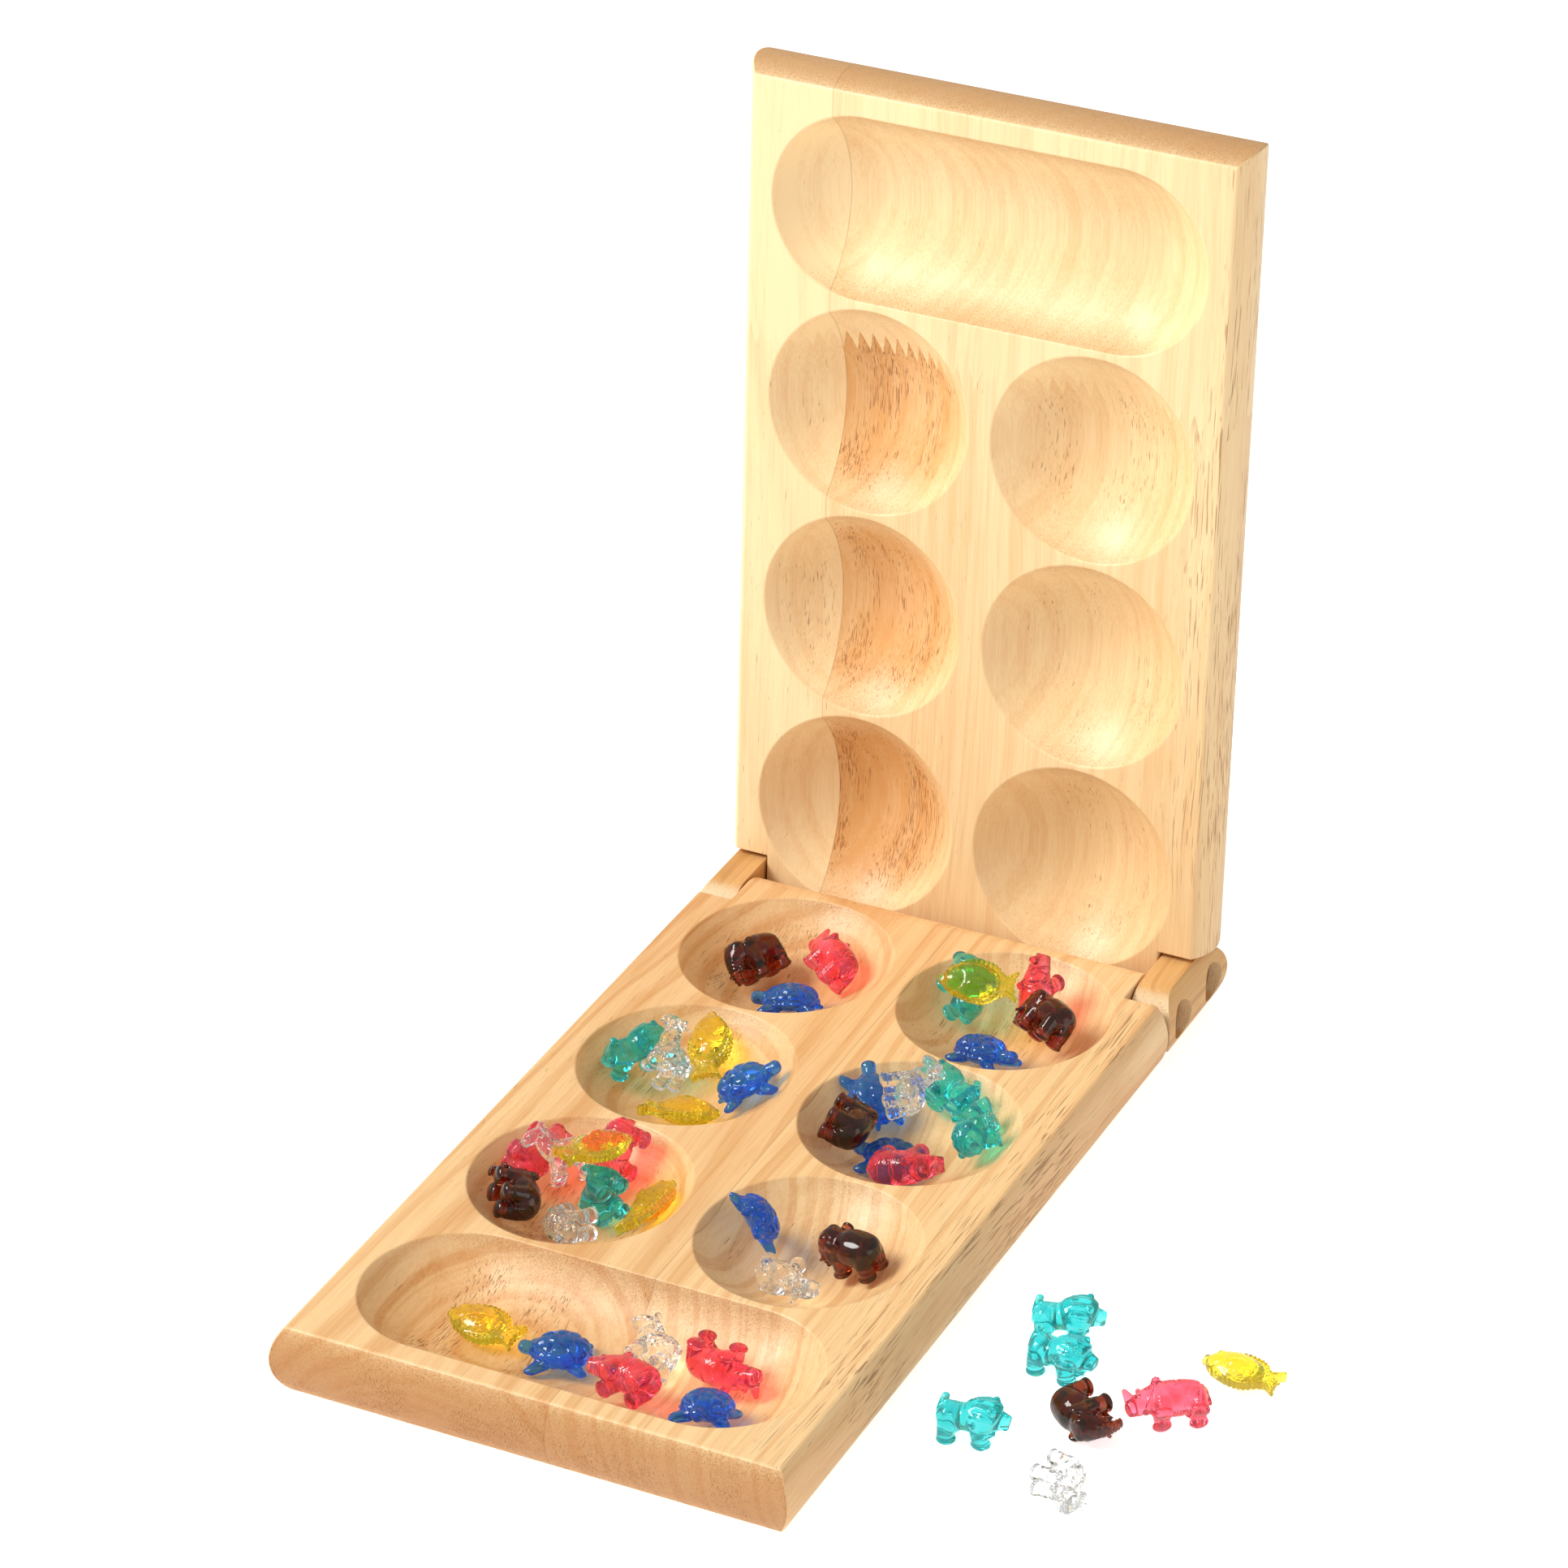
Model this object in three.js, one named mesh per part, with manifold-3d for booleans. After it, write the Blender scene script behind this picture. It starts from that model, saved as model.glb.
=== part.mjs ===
// Mancala board of solid wood that folds in half on two link blocks, with its animal playing pieces.
// Millimetres, +Z up: X runs across the board, Y along it, and the origin is the middle of the
// underside of the half that lies down. The other half stands open behind it.
import * as THREE from 'three';
import { mergeVertices } from 'three/addons/utils/BufferGeometryUtils.js';
import Module from 'manifold-3d';

const wasm = await Module();
wasm.setup();

// Sizes of one half of the board
const boardWidth = 125;
const boardThickness = 16.5;
const edgeBulge = 3;
const pitRadius = 25.4;
const pitDepth = 12;
const pitRows = 3;
const pitGap = 1.2;
const columnGap = 5.7;
const pivotToPit = 0.3;
const storeGap = 1.6;
const storeWidth = 45;
const storeLength = 108.4;
const endMargin = 5.2;

// Sizes of the hinge: tongue, link blocks and dowel pins
const tongueWidth = 102.4;
const pivotSpacing = 18;
const shoulderClearance = 0.65;
const linkClearance = 0.5;
const pinRadius = 4.5;
const pinClearance = 0.3;
const pinRecess = 3;
const pinEmbed = 18;
const pinChamfer = 0.6;

// Rest pose: how far the standing half is turned up from lying flat open
const standingAngle = THREE.MathUtils.degToRad(85.6);

// Sizes of the playing pieces, each as length, width and height
const elephantSize = [17, 9, 11.5];
const giraffeSize = [15, 8, 14.4];
const lionSize = [16.5, 9, 11.5];
const rhinoSize = [19, 8.5, 10.5];
const turtleSize = [17, 14, 7.5];
const fishSize = [19, 7.5, 11.5];
const pieceClearance = 0.3;
const lidClearance = 0.7;
const seatStep = 0.8;
const settleStep = 1.2;
const looseOffset = 22;
const looseRowSpacing = 14;

// Counts of facets, and the overrun of every cutter
const bowlSides = 24;
const bowlRings = 4;
const arcSteps = 4;
const pinSides = 14;
const spineSides = 6;
const cutOverrun = 4;
const weldDistance = 0.0001;
const bisections = 4;
const settleRings = 10;
const settleDirections = 10;

// Sizes that follow from the ones above
const noseRadius = boardThickness / 2;
const flatHalfWidth = boardWidth / 2 - edgeBulge;
const shoulderDistance = noseRadius + shoulderClearance;
const firstRow = pitRadius + pivotToPit;
const rowPitch = 2 * pitRadius + pitGap;
const columnOffset = pitRadius + columnGap / 2;
const lastRow = firstRow + (pitRows - 1) * rowPitch;
const storeRadius = storeWidth / 2;
const storeRun = storeLength - storeWidth;
const storeCentre = lastRow + pitRadius + storeGap + storeRadius;
const flatLength = storeCentre + storeRadius + endMargin;
const halfLength = flatLength + edgeBulge + noseRadius;
const nearPivotY = halfLength / 2 - noseRadius;
const linkInnerX = tongueWidth / 2 + linkClearance;

// Colours of the wood and of the clear plastics
const woodColour = 0xe0b981;
const linkColour = 0xd3a468;
const pinColour = 0x9a6a3c;
const plasticColours = {
  elephant: 0x3a1206,
  giraffe: 0xf2f2f0,
  lion: 0x0c9c93,
  rhino: 0xf5404a,
  turtle: 0x0d4fc4,
  fish: 0xf2cf1a,
};

// Turns a closed geometry into a solid that can be cut and joined.
function solidOf(geometry) {
  const bare = geometry.clone();
  bare.deleteAttribute('normal');
  bare.deleteAttribute('uv');
  const merged = mergeVertices(bare, weldDistance);
  const corners = merged.index.array;
  const triangles = [];
  for (let i = 0; i < corners.length; i += 3) {
    const [a, b, c] = [corners[i], corners[i + 1], corners[i + 2]];
    if (a !== b && b !== c && c !== a) triangles.push(a, b, c);
  }
  const vertProperties = new Float32Array(merged.attributes.position.array);
  const triVerts = new Uint32Array(triangles);
  return new wasm.Manifold(new wasm.Mesh({ numProp: 3, vertProperties, triVerts }));
}

// Turns a solid back into a geometry for a mesh.
function geometryOf(solid) {
  const mesh = solid.getMesh();
  const geometry = new THREE.BufferGeometry();
  geometry.setAttribute('position', new THREE.BufferAttribute(mesh.vertProperties, 3));
  geometry.setIndex(new THREE.BufferAttribute(mesh.triVerts, 1));
  geometry.computeVertexNormals();
  return geometry;
}

// Joins a list of solids into one.
function join(solids) {
  return solids.reduce((whole, solid) => whole.add(solid));
}

function woodMaterial(color) {
  return new THREE.MeshStandardMaterial({ color, roughness: 0.45, metalness: 0, flatShading: true });
}

function plasticMaterial(color) {
  return new THREE.MeshStandardMaterial({ color, roughness: 0.08, metalness: 0, flatShading: true });
}

function namedMesh(name, solid, material) {
  const mesh = new THREE.Mesh(geometryOf(solid), material);
  mesh.name = name;
  return mesh;
}

// Lays a drawn profile in the plane across X, so that drawn x is Y and drawn y is Z, and
// extrudes it from one place on X to another.
function extrudeAlongX(shape, fromX, toX) {
  const geometry = new THREE.ExtrudeGeometry(shape, {
    depth: toX - fromX,
    bevelEnabled: false,
    curveSegments: arcSteps,
  });
  const alongX = new THREE.Matrix4().makeBasis(
    new THREE.Vector3(0, 1, 0),
    new THREE.Vector3(0, 0, 1),
    new THREE.Vector3(1, 0, 0),
  );
  return geometry.applyMatrix4(alongX).translate(fromX, 0, 0);
}

// The same for a profile across Y: drawn x is X and drawn y is Z.
function extrudeAlongY(shape, fromY, toY) {
  const geometry = new THREE.ExtrudeGeometry(shape, {
    depth: toY - fromY,
    bevelEnabled: false,
    curveSegments: arcSteps,
  });
  return geometry.rotateX(Math.PI / 2).translate(0, toY, 0);
}

// The shallow arc that rounds the board's edges, as its radius and the half angle it spans.
const bulgeRadius = (noseRadius ** 2 + edgeBulge ** 2) / (2 * edgeBulge);
const bulgeAngle = Math.asin(noseRadius / bulgeRadius);

// Section across the board: two flat faces between two bulged edges.
function crossSection() {
  const arcCentre = flatHalfWidth + edgeBulge - bulgeRadius;
  const shape = new THREE.Shape();
  shape.moveTo(flatHalfWidth, -noseRadius);
  shape.absarc(arcCentre, 0, bulgeRadius, -bulgeAngle, bulgeAngle, false);
  shape.lineTo(-flatHalfWidth, noseRadius);
  shape.absarc(-arcCentre, 0, bulgeRadius, Math.PI - bulgeAngle, Math.PI + bulgeAngle, false);
  shape.closePath();
  return shape;
}

// Section along the board: a round nose at the pivot and a bulged edge at the far end.
function lengthSection() {
  const arcCentre = -(flatLength + edgeBulge - bulgeRadius);
  const shape = new THREE.Shape();
  shape.moveTo(0, -noseRadius);
  shape.absarc(0, 0, noseRadius, -Math.PI / 2, Math.PI / 2, false);
  shape.lineTo(-flatLength, noseRadius);
  shape.absarc(arcCentre, 0, bulgeRadius, Math.PI - bulgeAngle, Math.PI + bulgeAngle, false);
  shape.closePath();
  return shape;
}

// A block with two round ends, seen from the side, that turns on a pin at each end.
function linkSection() {
  const shape = new THREE.Shape();
  shape.moveTo(0, -noseRadius);
  shape.lineTo(pivotSpacing, -noseRadius);
  shape.absarc(pivotSpacing, 0, noseRadius, -Math.PI / 2, Math.PI / 2, false);
  shape.lineTo(0, noseRadius);
  shape.absarc(0, 0, noseRadius, Math.PI / 2, (3 * Math.PI) / 2, false);
  shape.closePath();
  return shape;
}

// The wells: six round pits and one long store, from the pivot at the origin towards -Y.
function ballRadius(radius, depth) {
  return (radius ** 2 + depth ** 2) / (2 * depth);
}

const pitWells = {};
for (const [column, side] of [['left', -1], ['right', 1]]) {
  for (const [row, name] of ['back', 'middle', 'front'].entries()) {
    pitWells[`${name}_${column}`] = {
      x: side * columnOffset,
      y: -(firstRow + row * rowPitch),
      radius: pitRadius,
      run: 0,
    };
  }
}
const storeWell = { x: 0, y: -storeCentre, radius: storeRadius, run: storeRun };
const wells = { ...pitWells, store: storeWell };

// Cutter for a well: part of a ball, drawn out along X where the well has a straight run.
function wellCutter(well) {
  const ball = ballRadius(well.radius, pitDepth);
  const rimAngle = Math.asin(well.radius / ball);
  const profile = [];
  for (let ring = 0; ring <= bowlRings; ring += 1) {
    const angle = (rimAngle * ring) / bowlRings;
    profile.push(new THREE.Vector2(ball * Math.sin(angle), ball - ball * Math.cos(angle) - pitDepth));
  }
  profile.push(new THREE.Vector2(well.radius, cutOverrun));
  profile.push(new THREE.Vector2(0, cutOverrun));
  const halfStep = Math.PI / bowlSides;
  const geometry = new THREE.LatheGeometry(profile, bowlSides, halfStep);
  const position = geometry.attributes.position;
  for (let i = 0; i < position.count; i += 1) {
    const turn = halfStep + 2 * halfStep * Math.floor(i / profile.length);
    position.setX(i, position.getX(i) + Math.sign(Math.sin(turn)) * (well.run / 2));
  }
  geometry.rotateX(Math.PI / 2);
  return solidOf(geometry.translate(well.x, well.y, noseRadius));
}

// A round bar along X, centred on the pivot, for the pin holes and the pins.
function pivotBar(radius, fromX, toX, chamfer) {
  const profile = [
    new THREE.Vector2(0, 0),
    new THREE.Vector2(radius - chamfer, 0),
    new THREE.Vector2(radius, chamfer),
    new THREE.Vector2(radius, toX - fromX - chamfer),
    new THREE.Vector2(radius - chamfer, toX - fromX),
    new THREE.Vector2(0, toX - fromX),
  ];
  const outline = chamfer > 0 ? profile : [profile[0], profile[2], profile[3], profile[5]];
  const geometry = new THREE.LatheGeometry(outline, pinSides);
  return solidOf(geometry.rotateZ(-Math.PI / 2).translate(fromX, 0, 0));
}

// Box given by two opposite corners.
function boxBetween(low, high) {
  const size = high.map((value, axis) => value - low[axis]);
  const middle = high.map((value, axis) => (value + low[axis]) / 2);
  return solidOf(new THREE.BoxGeometry(...size).translate(...middle));
}

// One half of the board, with its pivot at the origin and its face up.
function boardHalf() {
  const reach = flatLength + edgeBulge + cutOverrun;
  const beyond = boardWidth / 2 + cutOverrun;
  const alongX = extrudeAlongX(lengthSection(), -beyond, beyond);
  const alongY = extrudeAlongY(crossSection(), -reach, noseRadius + cutOverrun);
  let solid = solidOf(alongX).intersect(solidOf(alongY));
  for (const side of [-1, 1]) {
    const edges = [side * (tongueWidth / 2), side * beyond];
    const low = [Math.min(...edges), -shoulderDistance, -noseRadius - cutOverrun];
    const high = [Math.max(...edges), noseRadius + cutOverrun, noseRadius + cutOverrun];
    solid = solid.subtract(boxBetween(low, high));
    const ends = [side * (tongueWidth / 2 - pinEmbed), side * (tongueWidth / 2 + cutOverrun)];
    const hole = pivotBar(pinRadius + pinClearance, Math.min(...ends), Math.max(...ends), 0);
    solid = solid.subtract(hole);
  }
  return solid.subtract(join(Object.values(wells).map(wellCutter)));
}

// One link block: round-ended, with the board's bulged edge on its outer side and two pin holes.
function linkBlock(side) {
  const ends = [side * linkInnerX, side * (boardWidth / 2 + cutOverrun)];
  const block = extrudeAlongX(linkSection(), Math.min(...ends), Math.max(...ends));
  const reach = pivotSpacing + noseRadius + cutOverrun;
  const edge = extrudeAlongY(crossSection(), -noseRadius - cutOverrun, reach);
  const bar = pivotBar(pinRadius + pinClearance, Math.min(...ends), Math.max(...ends), 0);
  const holes = join([bar.translate([0, 0, 0]), bar.translate([0, pivotSpacing, 0])]);
  return solidOf(block).intersect(solidOf(edge)).subtract(holes);
}

// A dowel pin, from its seat inside the tongue to its recess in the link block.
function dowelPin(side) {
  const inner = tongueWidth / 2 - pinEmbed + pinClearance;
  const outer = boardWidth / 2 - pinRecess;
  const ends = [side * inner, side * outer];
  return pivotBar(pinRadius, Math.min(...ends), Math.max(...ends), pinChamfer);
}

// A rounded lump of an animal: its centre and half axes are shares of the animal's size.
function lump(size, [atShare, halfShare, sides = 7, rings = 4]) {
  const geometry = new THREE.SphereGeometry(1, sides, rings).rotateX(Math.PI / 2);
  geometry.scale(...halfShare.map((share, axis) => share * size[axis]));
  return solidOf(geometry.translate(...atShare.map((share, axis) => share * size[axis])));
}

// A tapered limb between two places given as shares of the size, its radii as shares of the width.
function limb(size, [fromShare, toShare, startShare, endShare, sides = 5]) {
  const from = new THREE.Vector3(...fromShare.map((share, axis) => share * size[axis]));
  const to = new THREE.Vector3(...toShare.map((share, axis) => share * size[axis]));
  const along = to.clone().sub(from);
  const radii = [endShare * size[1], startShare * size[1]];
  const geometry = new THREE.CylinderGeometry(...radii, along.length(), sides);
  const up = new THREE.Vector3(0, 1, 0);
  geometry.applyQuaternion(new THREE.Quaternion().setFromUnitVectors(up, along.normalize()));
  const middle = from.add(to).multiplyScalar(0.5);
  return solidOf(geometry.translate(middle.x, middle.y, middle.z));
}

// The same limb on both sides of the animal.
function limbPair(size, [fromShare, toShare, startShare, endShare, sides]) {
  return [-1, 1].map((side) => {
    const from = [fromShare[0], side * fromShare[1], fromShare[2]];
    const to = [toShare[0], side * toShare[1], toShare[2]];
    return limb(size, [from, to, startShare, endShare, sides]);
  });
}

// The trunk of an animal from rump to nose: each section's place forward and up and its half width
// and half height are shares of the size, and the sections stand across the line they follow.
function spine(size, rows) {
  const points = rows.map(([forward, up]) => new THREE.Vector2(forward * size[0], up * size[2]));
  const vertProperties = [];
  for (const [i, [, , halfWidth, halfHeight]] of rows.entries()) {
    const before = points[Math.max(i - 1, 0)];
    const after = points[Math.min(i + 1, rows.length - 1)];
    const along = after.clone().sub(before).normalize();
    for (let side = 0; side < spineSides; side += 1) {
      const angle = (2 * Math.PI * (side + 0.5)) / spineSides;
      const rise = Math.cos(angle) * halfHeight * size[2];
      const y = Math.sin(angle) * halfWidth * size[1];
      vertProperties.push(points[i].x - rise * along.y, y, points[i].y + rise * along.x);
    }
  }
  const triVerts = [];
  const last = (rows.length - 1) * spineSides;
  for (let side = 0; side < spineSides; side += 1) {
    const next = (side + 1) % spineSides;
    for (let ring = 0; ring < last; ring += spineSides) {
      const [a, b] = [ring + side, ring + next];
      triVerts.push(a, b + spineSides, b, a, a + spineSides, b + spineSides);
    }
    if (side > 0 && next > 0) triVerts.push(0, side, next, last, last + next, last + side);
  }
  const mesh = new wasm.Mesh({
    numProp: 3,
    vertProperties: new Float32Array(vertProperties),
    triVerts: new Uint32Array(triVerts),
  });
  return new wasm.Manifold(mesh);
}

// An animal from its tables of shares, with +X towards the head, centred between its ends.
function animalFrom(size, shares) {
  const { lumps = [], limbs = [], limbPairs = [] } = shares;
  const solids = [
    ...(shares.spine ? [spine(size, shares.spine)] : []),
    ...lumps.map((row) => lump(size, row)),
    ...limbs.map((row) => limb(size, row)),
    ...limbPairs.flatMap((row) => limbPair(size, row)),
  ];
  return join(solids);
}

const elephantShares = {
  spine: [
    [-0.5, 0.1, 0.1, 0.1], [-0.38, 0.1, 0.42, 0.3], [-0.1, 0.1, 0.5, 0.4], [0.1, 0.12, 0.38, 0.32],
    [0.26, 0.18, 0.38, 0.32], [0.4, 0.02, 0.24, 0.16], [0.45, -0.24, 0.14, 0.1],
    [0.42, -0.44, 0.1, 0.06],
  ],
  limbPairs: [
    [[0.14, 0.3, 0.4], [0.14, 0.42, -0.1], 0.1, 0.1, 3],
    [[0.08, 0.24, 0], [0.1, 0.27, -0.5], 0.24, 0.24, 4],
    [[-0.32, 0.24, 0], [-0.33, 0.27, -0.5], 0.24, 0.24, 4],
  ],
};

const giraffeShares = {
  spine: [
    [-0.48, 0, 0.12, 0.08], [-0.34, -0.02, 0.46, 0.22], [-0.06, -0.02, 0.5, 0.24],
    [0.14, 0.1, 0.32, 0.16], [0.22, 0.34, 0.28, 0.12], [0.36, 0.34, 0.3, 0.12],
    [0.5, 0.26, 0.2, 0.08],
  ],
  limbPairs: [
    [[0.22, 0.12, 0.36], [0.17, 0.2, 0.5], 0.12, 0.09, 3],
    [[0.06, 0.24, -0.06], [0.1, 0.27, -0.5], 0.25, 0.24, 4],
    [[-0.34, 0.24, -0.06], [-0.35, 0.27, -0.5], 0.25, 0.24, 4],
  ],
};

const lionShares = {
  spine: [
    [-0.5, 0.06, 0.1, 0.08], [-0.38, 0.04, 0.38, 0.28], [-0.12, 0.04, 0.38, 0.28],
    [0.04, 0.1, 0.5, 0.38], [0.24, 0.14, 0.46, 0.36], [0.34, 0.08, 0.3, 0.22],
    [0.5, 0.04, 0.18, 0.12],
  ],
  limbPairs: [
    [[0.1, 0.24, -0.06], [0.12, 0.27, -0.5], 0.24, 0.24, 4],
    [[-0.34, 0.22, -0.06], [-0.35, 0.27, -0.5], 0.24, 0.24, 4],
  ],
};

const rhinoShares = {
  spine: [
    [-0.5, 0.1, 0.12, 0.1], [-0.38, 0.1, 0.44, 0.32], [-0.1, 0.1, 0.5, 0.4],
    [0.14, 0.1, 0.4, 0.34], [0.34, 0, 0.28, 0.24], [0.48, -0.1, 0.2, 0.14],
  ],
  limbs: [[[0.36, 0, 0], [0.46, 0, 0.4], 0.24, 0.1, 3]],
  limbPairs: [
    [[0.12, 0.22, 0.28], [0.09, 0.27, 0.5], 0.14, 0.08, 3],
    [[0.06, 0.25, 0], [0.08, 0.27, -0.5], 0.25, 0.24, 4],
    [[-0.35, 0.25, 0], [-0.36, 0.27, -0.5], 0.25, 0.24, 4],
  ],
};

const turtleShares = {
  lumps: [[[-0.06, 0, 0.02], [0.37, 0.41, 0.46], 7, 4]],
  limbs: [
    [[0.1, 0, -0.14], [0.5, 0, 0], 0.12, 0.14, 5],
    [[-0.3, 0, -0.2], [-0.49, 0, -0.3], 0.09, 0.04, 3],
  ],
  limbPairs: [
    [[0.14, 0.24, -0.24], [0.3, 0.42, -0.3], 0.14, 0.12, 3],
    [[-0.22, 0.24, -0.24], [-0.35, 0.4, -0.3], 0.14, 0.11, 3],
  ],
};

const fishShares = { lumps: [[[0.08, 0, 0], [0.37, 0.5, 0.4], 8, 4]] };

// Outline of the fish's fins and forked tail, from the lips round by the back.
const finOutlineShares = [
  [0.5, 0.1], [0.14, 0.5], [-0.2, 0.44], [-0.32, 0.16], [-0.5, 0.36], [-0.44, 0],
  [-0.5, -0.36], [-0.32, -0.16], [-0.12, -0.46], [0.14, -0.4], [0.5, -0.12],
];
const finThicknessShare = 0.5;

// A fish: a flat plate for fins and tail with the body swelling through it.
function fish() {
  const shape = new THREE.Shape();
  const points = finOutlineShares.map(([x, z]) => [x * fishSize[0], z * fishSize[2]]);
  points.reverse();
  points.forEach(([x, z], i) => (i === 0 ? shape.moveTo(x, z) : shape.lineTo(x, z)));
  const half = (finThicknessShare * fishSize[1]) / 2;
  const plate = solidOf(extrudeAlongY(shape, -half, half));
  return plate.add(animalFrom(fishSize, fishShares));
}

const animals = {
  elephant: animalFrom(elephantSize, elephantShares),
  giraffe: animalFrom(giraffeSize, giraffeShares),
  lion: animalFrom(lionSize, lionShares),
  rhino: animalFrom(rhinoSize, rhinoShares),
  turtle: animalFrom(turtleSize, turtleShares),
  fish: fish(),
};

// Where the pieces lie in each well: the animal, its place across and along as shares of the pit's
// radius, its heading from +X, how its nose is tipped up and how it is rolled, in degrees.
const heapShares = {
  store: [
    ['fish', -1.04, 0.02, 172, 0, 84],
    ['turtle', -0.28, -0.06, 200, 0, 0],
    ['rhino', 0.5, -0.34, 166, 0, 78],
    ['giraffe', 0.46, 0.3, 176, 0, 96],
    ['rhino', 1.16, 0.22, -8, 0, 160],
    ['turtle', 1.3, -0.36, -80, 0, 0],
  ],
  front_left: [
    ['lion', 0.2, 0, 150, -74, 0],
    ['elephant', -0.46, -0.4, 130, 0, 84],
    ['giraffe', 0.14, -0.52, -10, 0, 92],
    ['fish', 0.68, 0, 80, 0, 84],
    ['rhino', -0.62, 0.06, 85, 0, 84],
    ['rhino', 0.36, 0.5, -105, -20, 10],
    ['giraffe', -0.4, 0.54, 225, 0, 80],
    ['fish', -0.1, -0.1, 60, 0, 84],
  ],
  front_right: [
    ['elephant', 0.32, 0.16, 170, 0, 0],
    ['turtle', -0.56, 0.12, 60, -50, 0],
    ['giraffe', -0.02, -0.4, 20, 0, 86],
  ],
  middle_left: [
    ['fish', 0.16, -0.42, 10, 0, 88],
    ['turtle', 0.54, 0.14, 30, 0, 0],
    ['lion', -0.5, 0.04, 60, 10, 0],
    ['fish', -0.02, 0.5, 110, 0, 80],
    ['giraffe', -0.12, -0.06, 140, 10, 20],
  ],
  middle_right: [
    ['turtle', -0.1, -0.2, 190, 0, 0],
    ['turtle', -0.52, 0.36, 130, 0, 0],
    ['lion', 0.56, 0.14, -60, 0, 84],
    ['lion', 0.22, 0.56, 160, 0, 84],
    ['rhino', 0.36, -0.5, 0, 0, 96],
    ['elephant', -0.5, -0.24, 100, 0, 90],
    ['giraffe', -0.1, 0.3, 120, 0, 80],
  ],
  back_left: [
    ['elephant', -0.34, 0, 250, 0, 60],
    ['rhino', 0.34, 0.26, 140, 0, 70],
    ['turtle', 0.24, -0.46, 200, 0, 0],
  ],
  back_right: [
    ['rhino', 0.24, 0.52, 80, 50, 0],
    ['lion', -0.58, 0.3, 130, 0, 20],
    ['turtle', 0.02, -0.46, -10, 0, 0],
    ['fish', -0.2, 0.22, 200, 0, 60],
    ['elephant', 0.44, -0.04, 150, 10, 60],
  ],
};

// The loose pieces on the table beside the board: the animal, how many steps of looseOffset it
// lies out from the board's edge and of looseRowSpacing from the board's middle to the hinge.
const looseStepShares = [
  ['lion', 1.05, -1.2, 20, 0, 0],
  ['lion', 1.25, -2.15, -5, 0, 0],
  ['lion', 0.9, -4.25, 10, 0, 0],
  ['elephant', 1.8, -3.35, -30, 0, 88],
  ['giraffe', 2.1, -5.05, -100, 0, -88],
  ['rhino', 2.5, -2.6, 215, 0, 70],
  ['fish', 2.9, -1.2, 175, 0, 90],
];

// How far a well's wall lies below its rim's plane at a place.
function wallDrop(well, x, y) {
  const ball = ballRadius(well.radius, pitDepth);
  const across = Math.max(Math.abs(x - well.x) - well.run / 2, 0);
  const out = Math.hypot(across, y - well.y);
  return out < well.radius ? Math.sqrt(ball ** 2 - out ** 2) - (ball - pitDepth) : 0;
}

// Lowest and highest a point can be at a place: the well's wall, and the same well of the other
// half when that half is folded over it. A piece on the table has no lid.
function roomAt(well, x, y) {
  if (!well) return { floor: -noseRadius, ceiling: Infinity };
  const drop = wallDrop(well, x, y);
  const ceiling = pivotSpacing - noseRadius + drop - lidClearance;
  return { floor: noseRadius - drop, ceiling };
}

// The turn of a piece: its own roll and tip, its heading, and a lean to the wall of its well.
function pieceTurn(well, x, y, [heading, tip, roll]) {
  const about = (axis, degrees) => {
    const angle = THREE.MathUtils.degToRad(degrees);
    return new THREE.Quaternion().setFromAxisAngle(axis, angle);
  };
  const turn = about(new THREE.Vector3(0, 0, 1), heading);
  turn.multiply(about(new THREE.Vector3(0, -1, 0), tip));
  turn.multiply(about(new THREE.Vector3(1, 0, 0), roll));
  if (!well) return turn;
  const ball = ballRadius(well.radius, pitDepth);
  const across = Math.sign(x - well.x) * Math.max(Math.abs(x - well.x) - well.run / 2, 0);
  const wallUp = new THREE.Vector3(-across, well.y - y, 0);
  wallUp.z = Math.sqrt(ball ** 2 - wallUp.lengthSq());
  const lean = new THREE.Quaternion();
  lean.setFromUnitVectors(new THREE.Vector3(0, 0, 1), wallUp.normalize());
  return lean.multiply(turn);
}

// A copy that stands out by the piece clearance all round.
function grown(solid) {
  const c = pieceClearance;
  const nudges = [[c, 0, 0], [-c, 0, 0], [0, c, 0], [0, -c, 0], [0, 0, c], [0, 0, -c]];
  return nudges.reduce((whole, nudge) => whole.add(solid.translate(nudge)), solid);
}

function isClear(solid, others, x, y, z) {
  const placed = solid.translate([x, y, z]);
  return others.every((other) => placed.intersect(other).isEmpty());
}

// Lowers a turned piece at x and y until it rests on the well or on the pieces before it. Gives
// its height, and how far it then stands above the folded lid.
function lowerOnto(piece, well, others, x, y) {
  const { points, wide } = piece;
  let lowest = -Infinity;
  for (let i = 0; i < points.length; i += 3) {
    const { floor } = roomAt(well, x + points[i], y + points[i + 1]);
    lowest = Math.max(lowest, floor - points[i + 2]);
  }
  let blocked = lowest;
  let open = lowest;
  while (!isClear(wide, others, x, y, open)) {
    blocked = open;
    open += seatStep;
  }
  for (let i = 0; open > blocked && i < bisections; i += 1) {
    const middle = (blocked + open) / 2;
    if (isClear(wide, others, x, y, middle)) open = middle;
    else blocked = middle;
  }
  let over = -Infinity;
  for (let i = 0; i < points.length; i += 3) {
    const { ceiling } = roomAt(well, x + points[i], y + points[i + 1]);
    over = Math.max(over, open + points[i + 2] - ceiling);
  }
  return { z: open, over };
}

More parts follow.
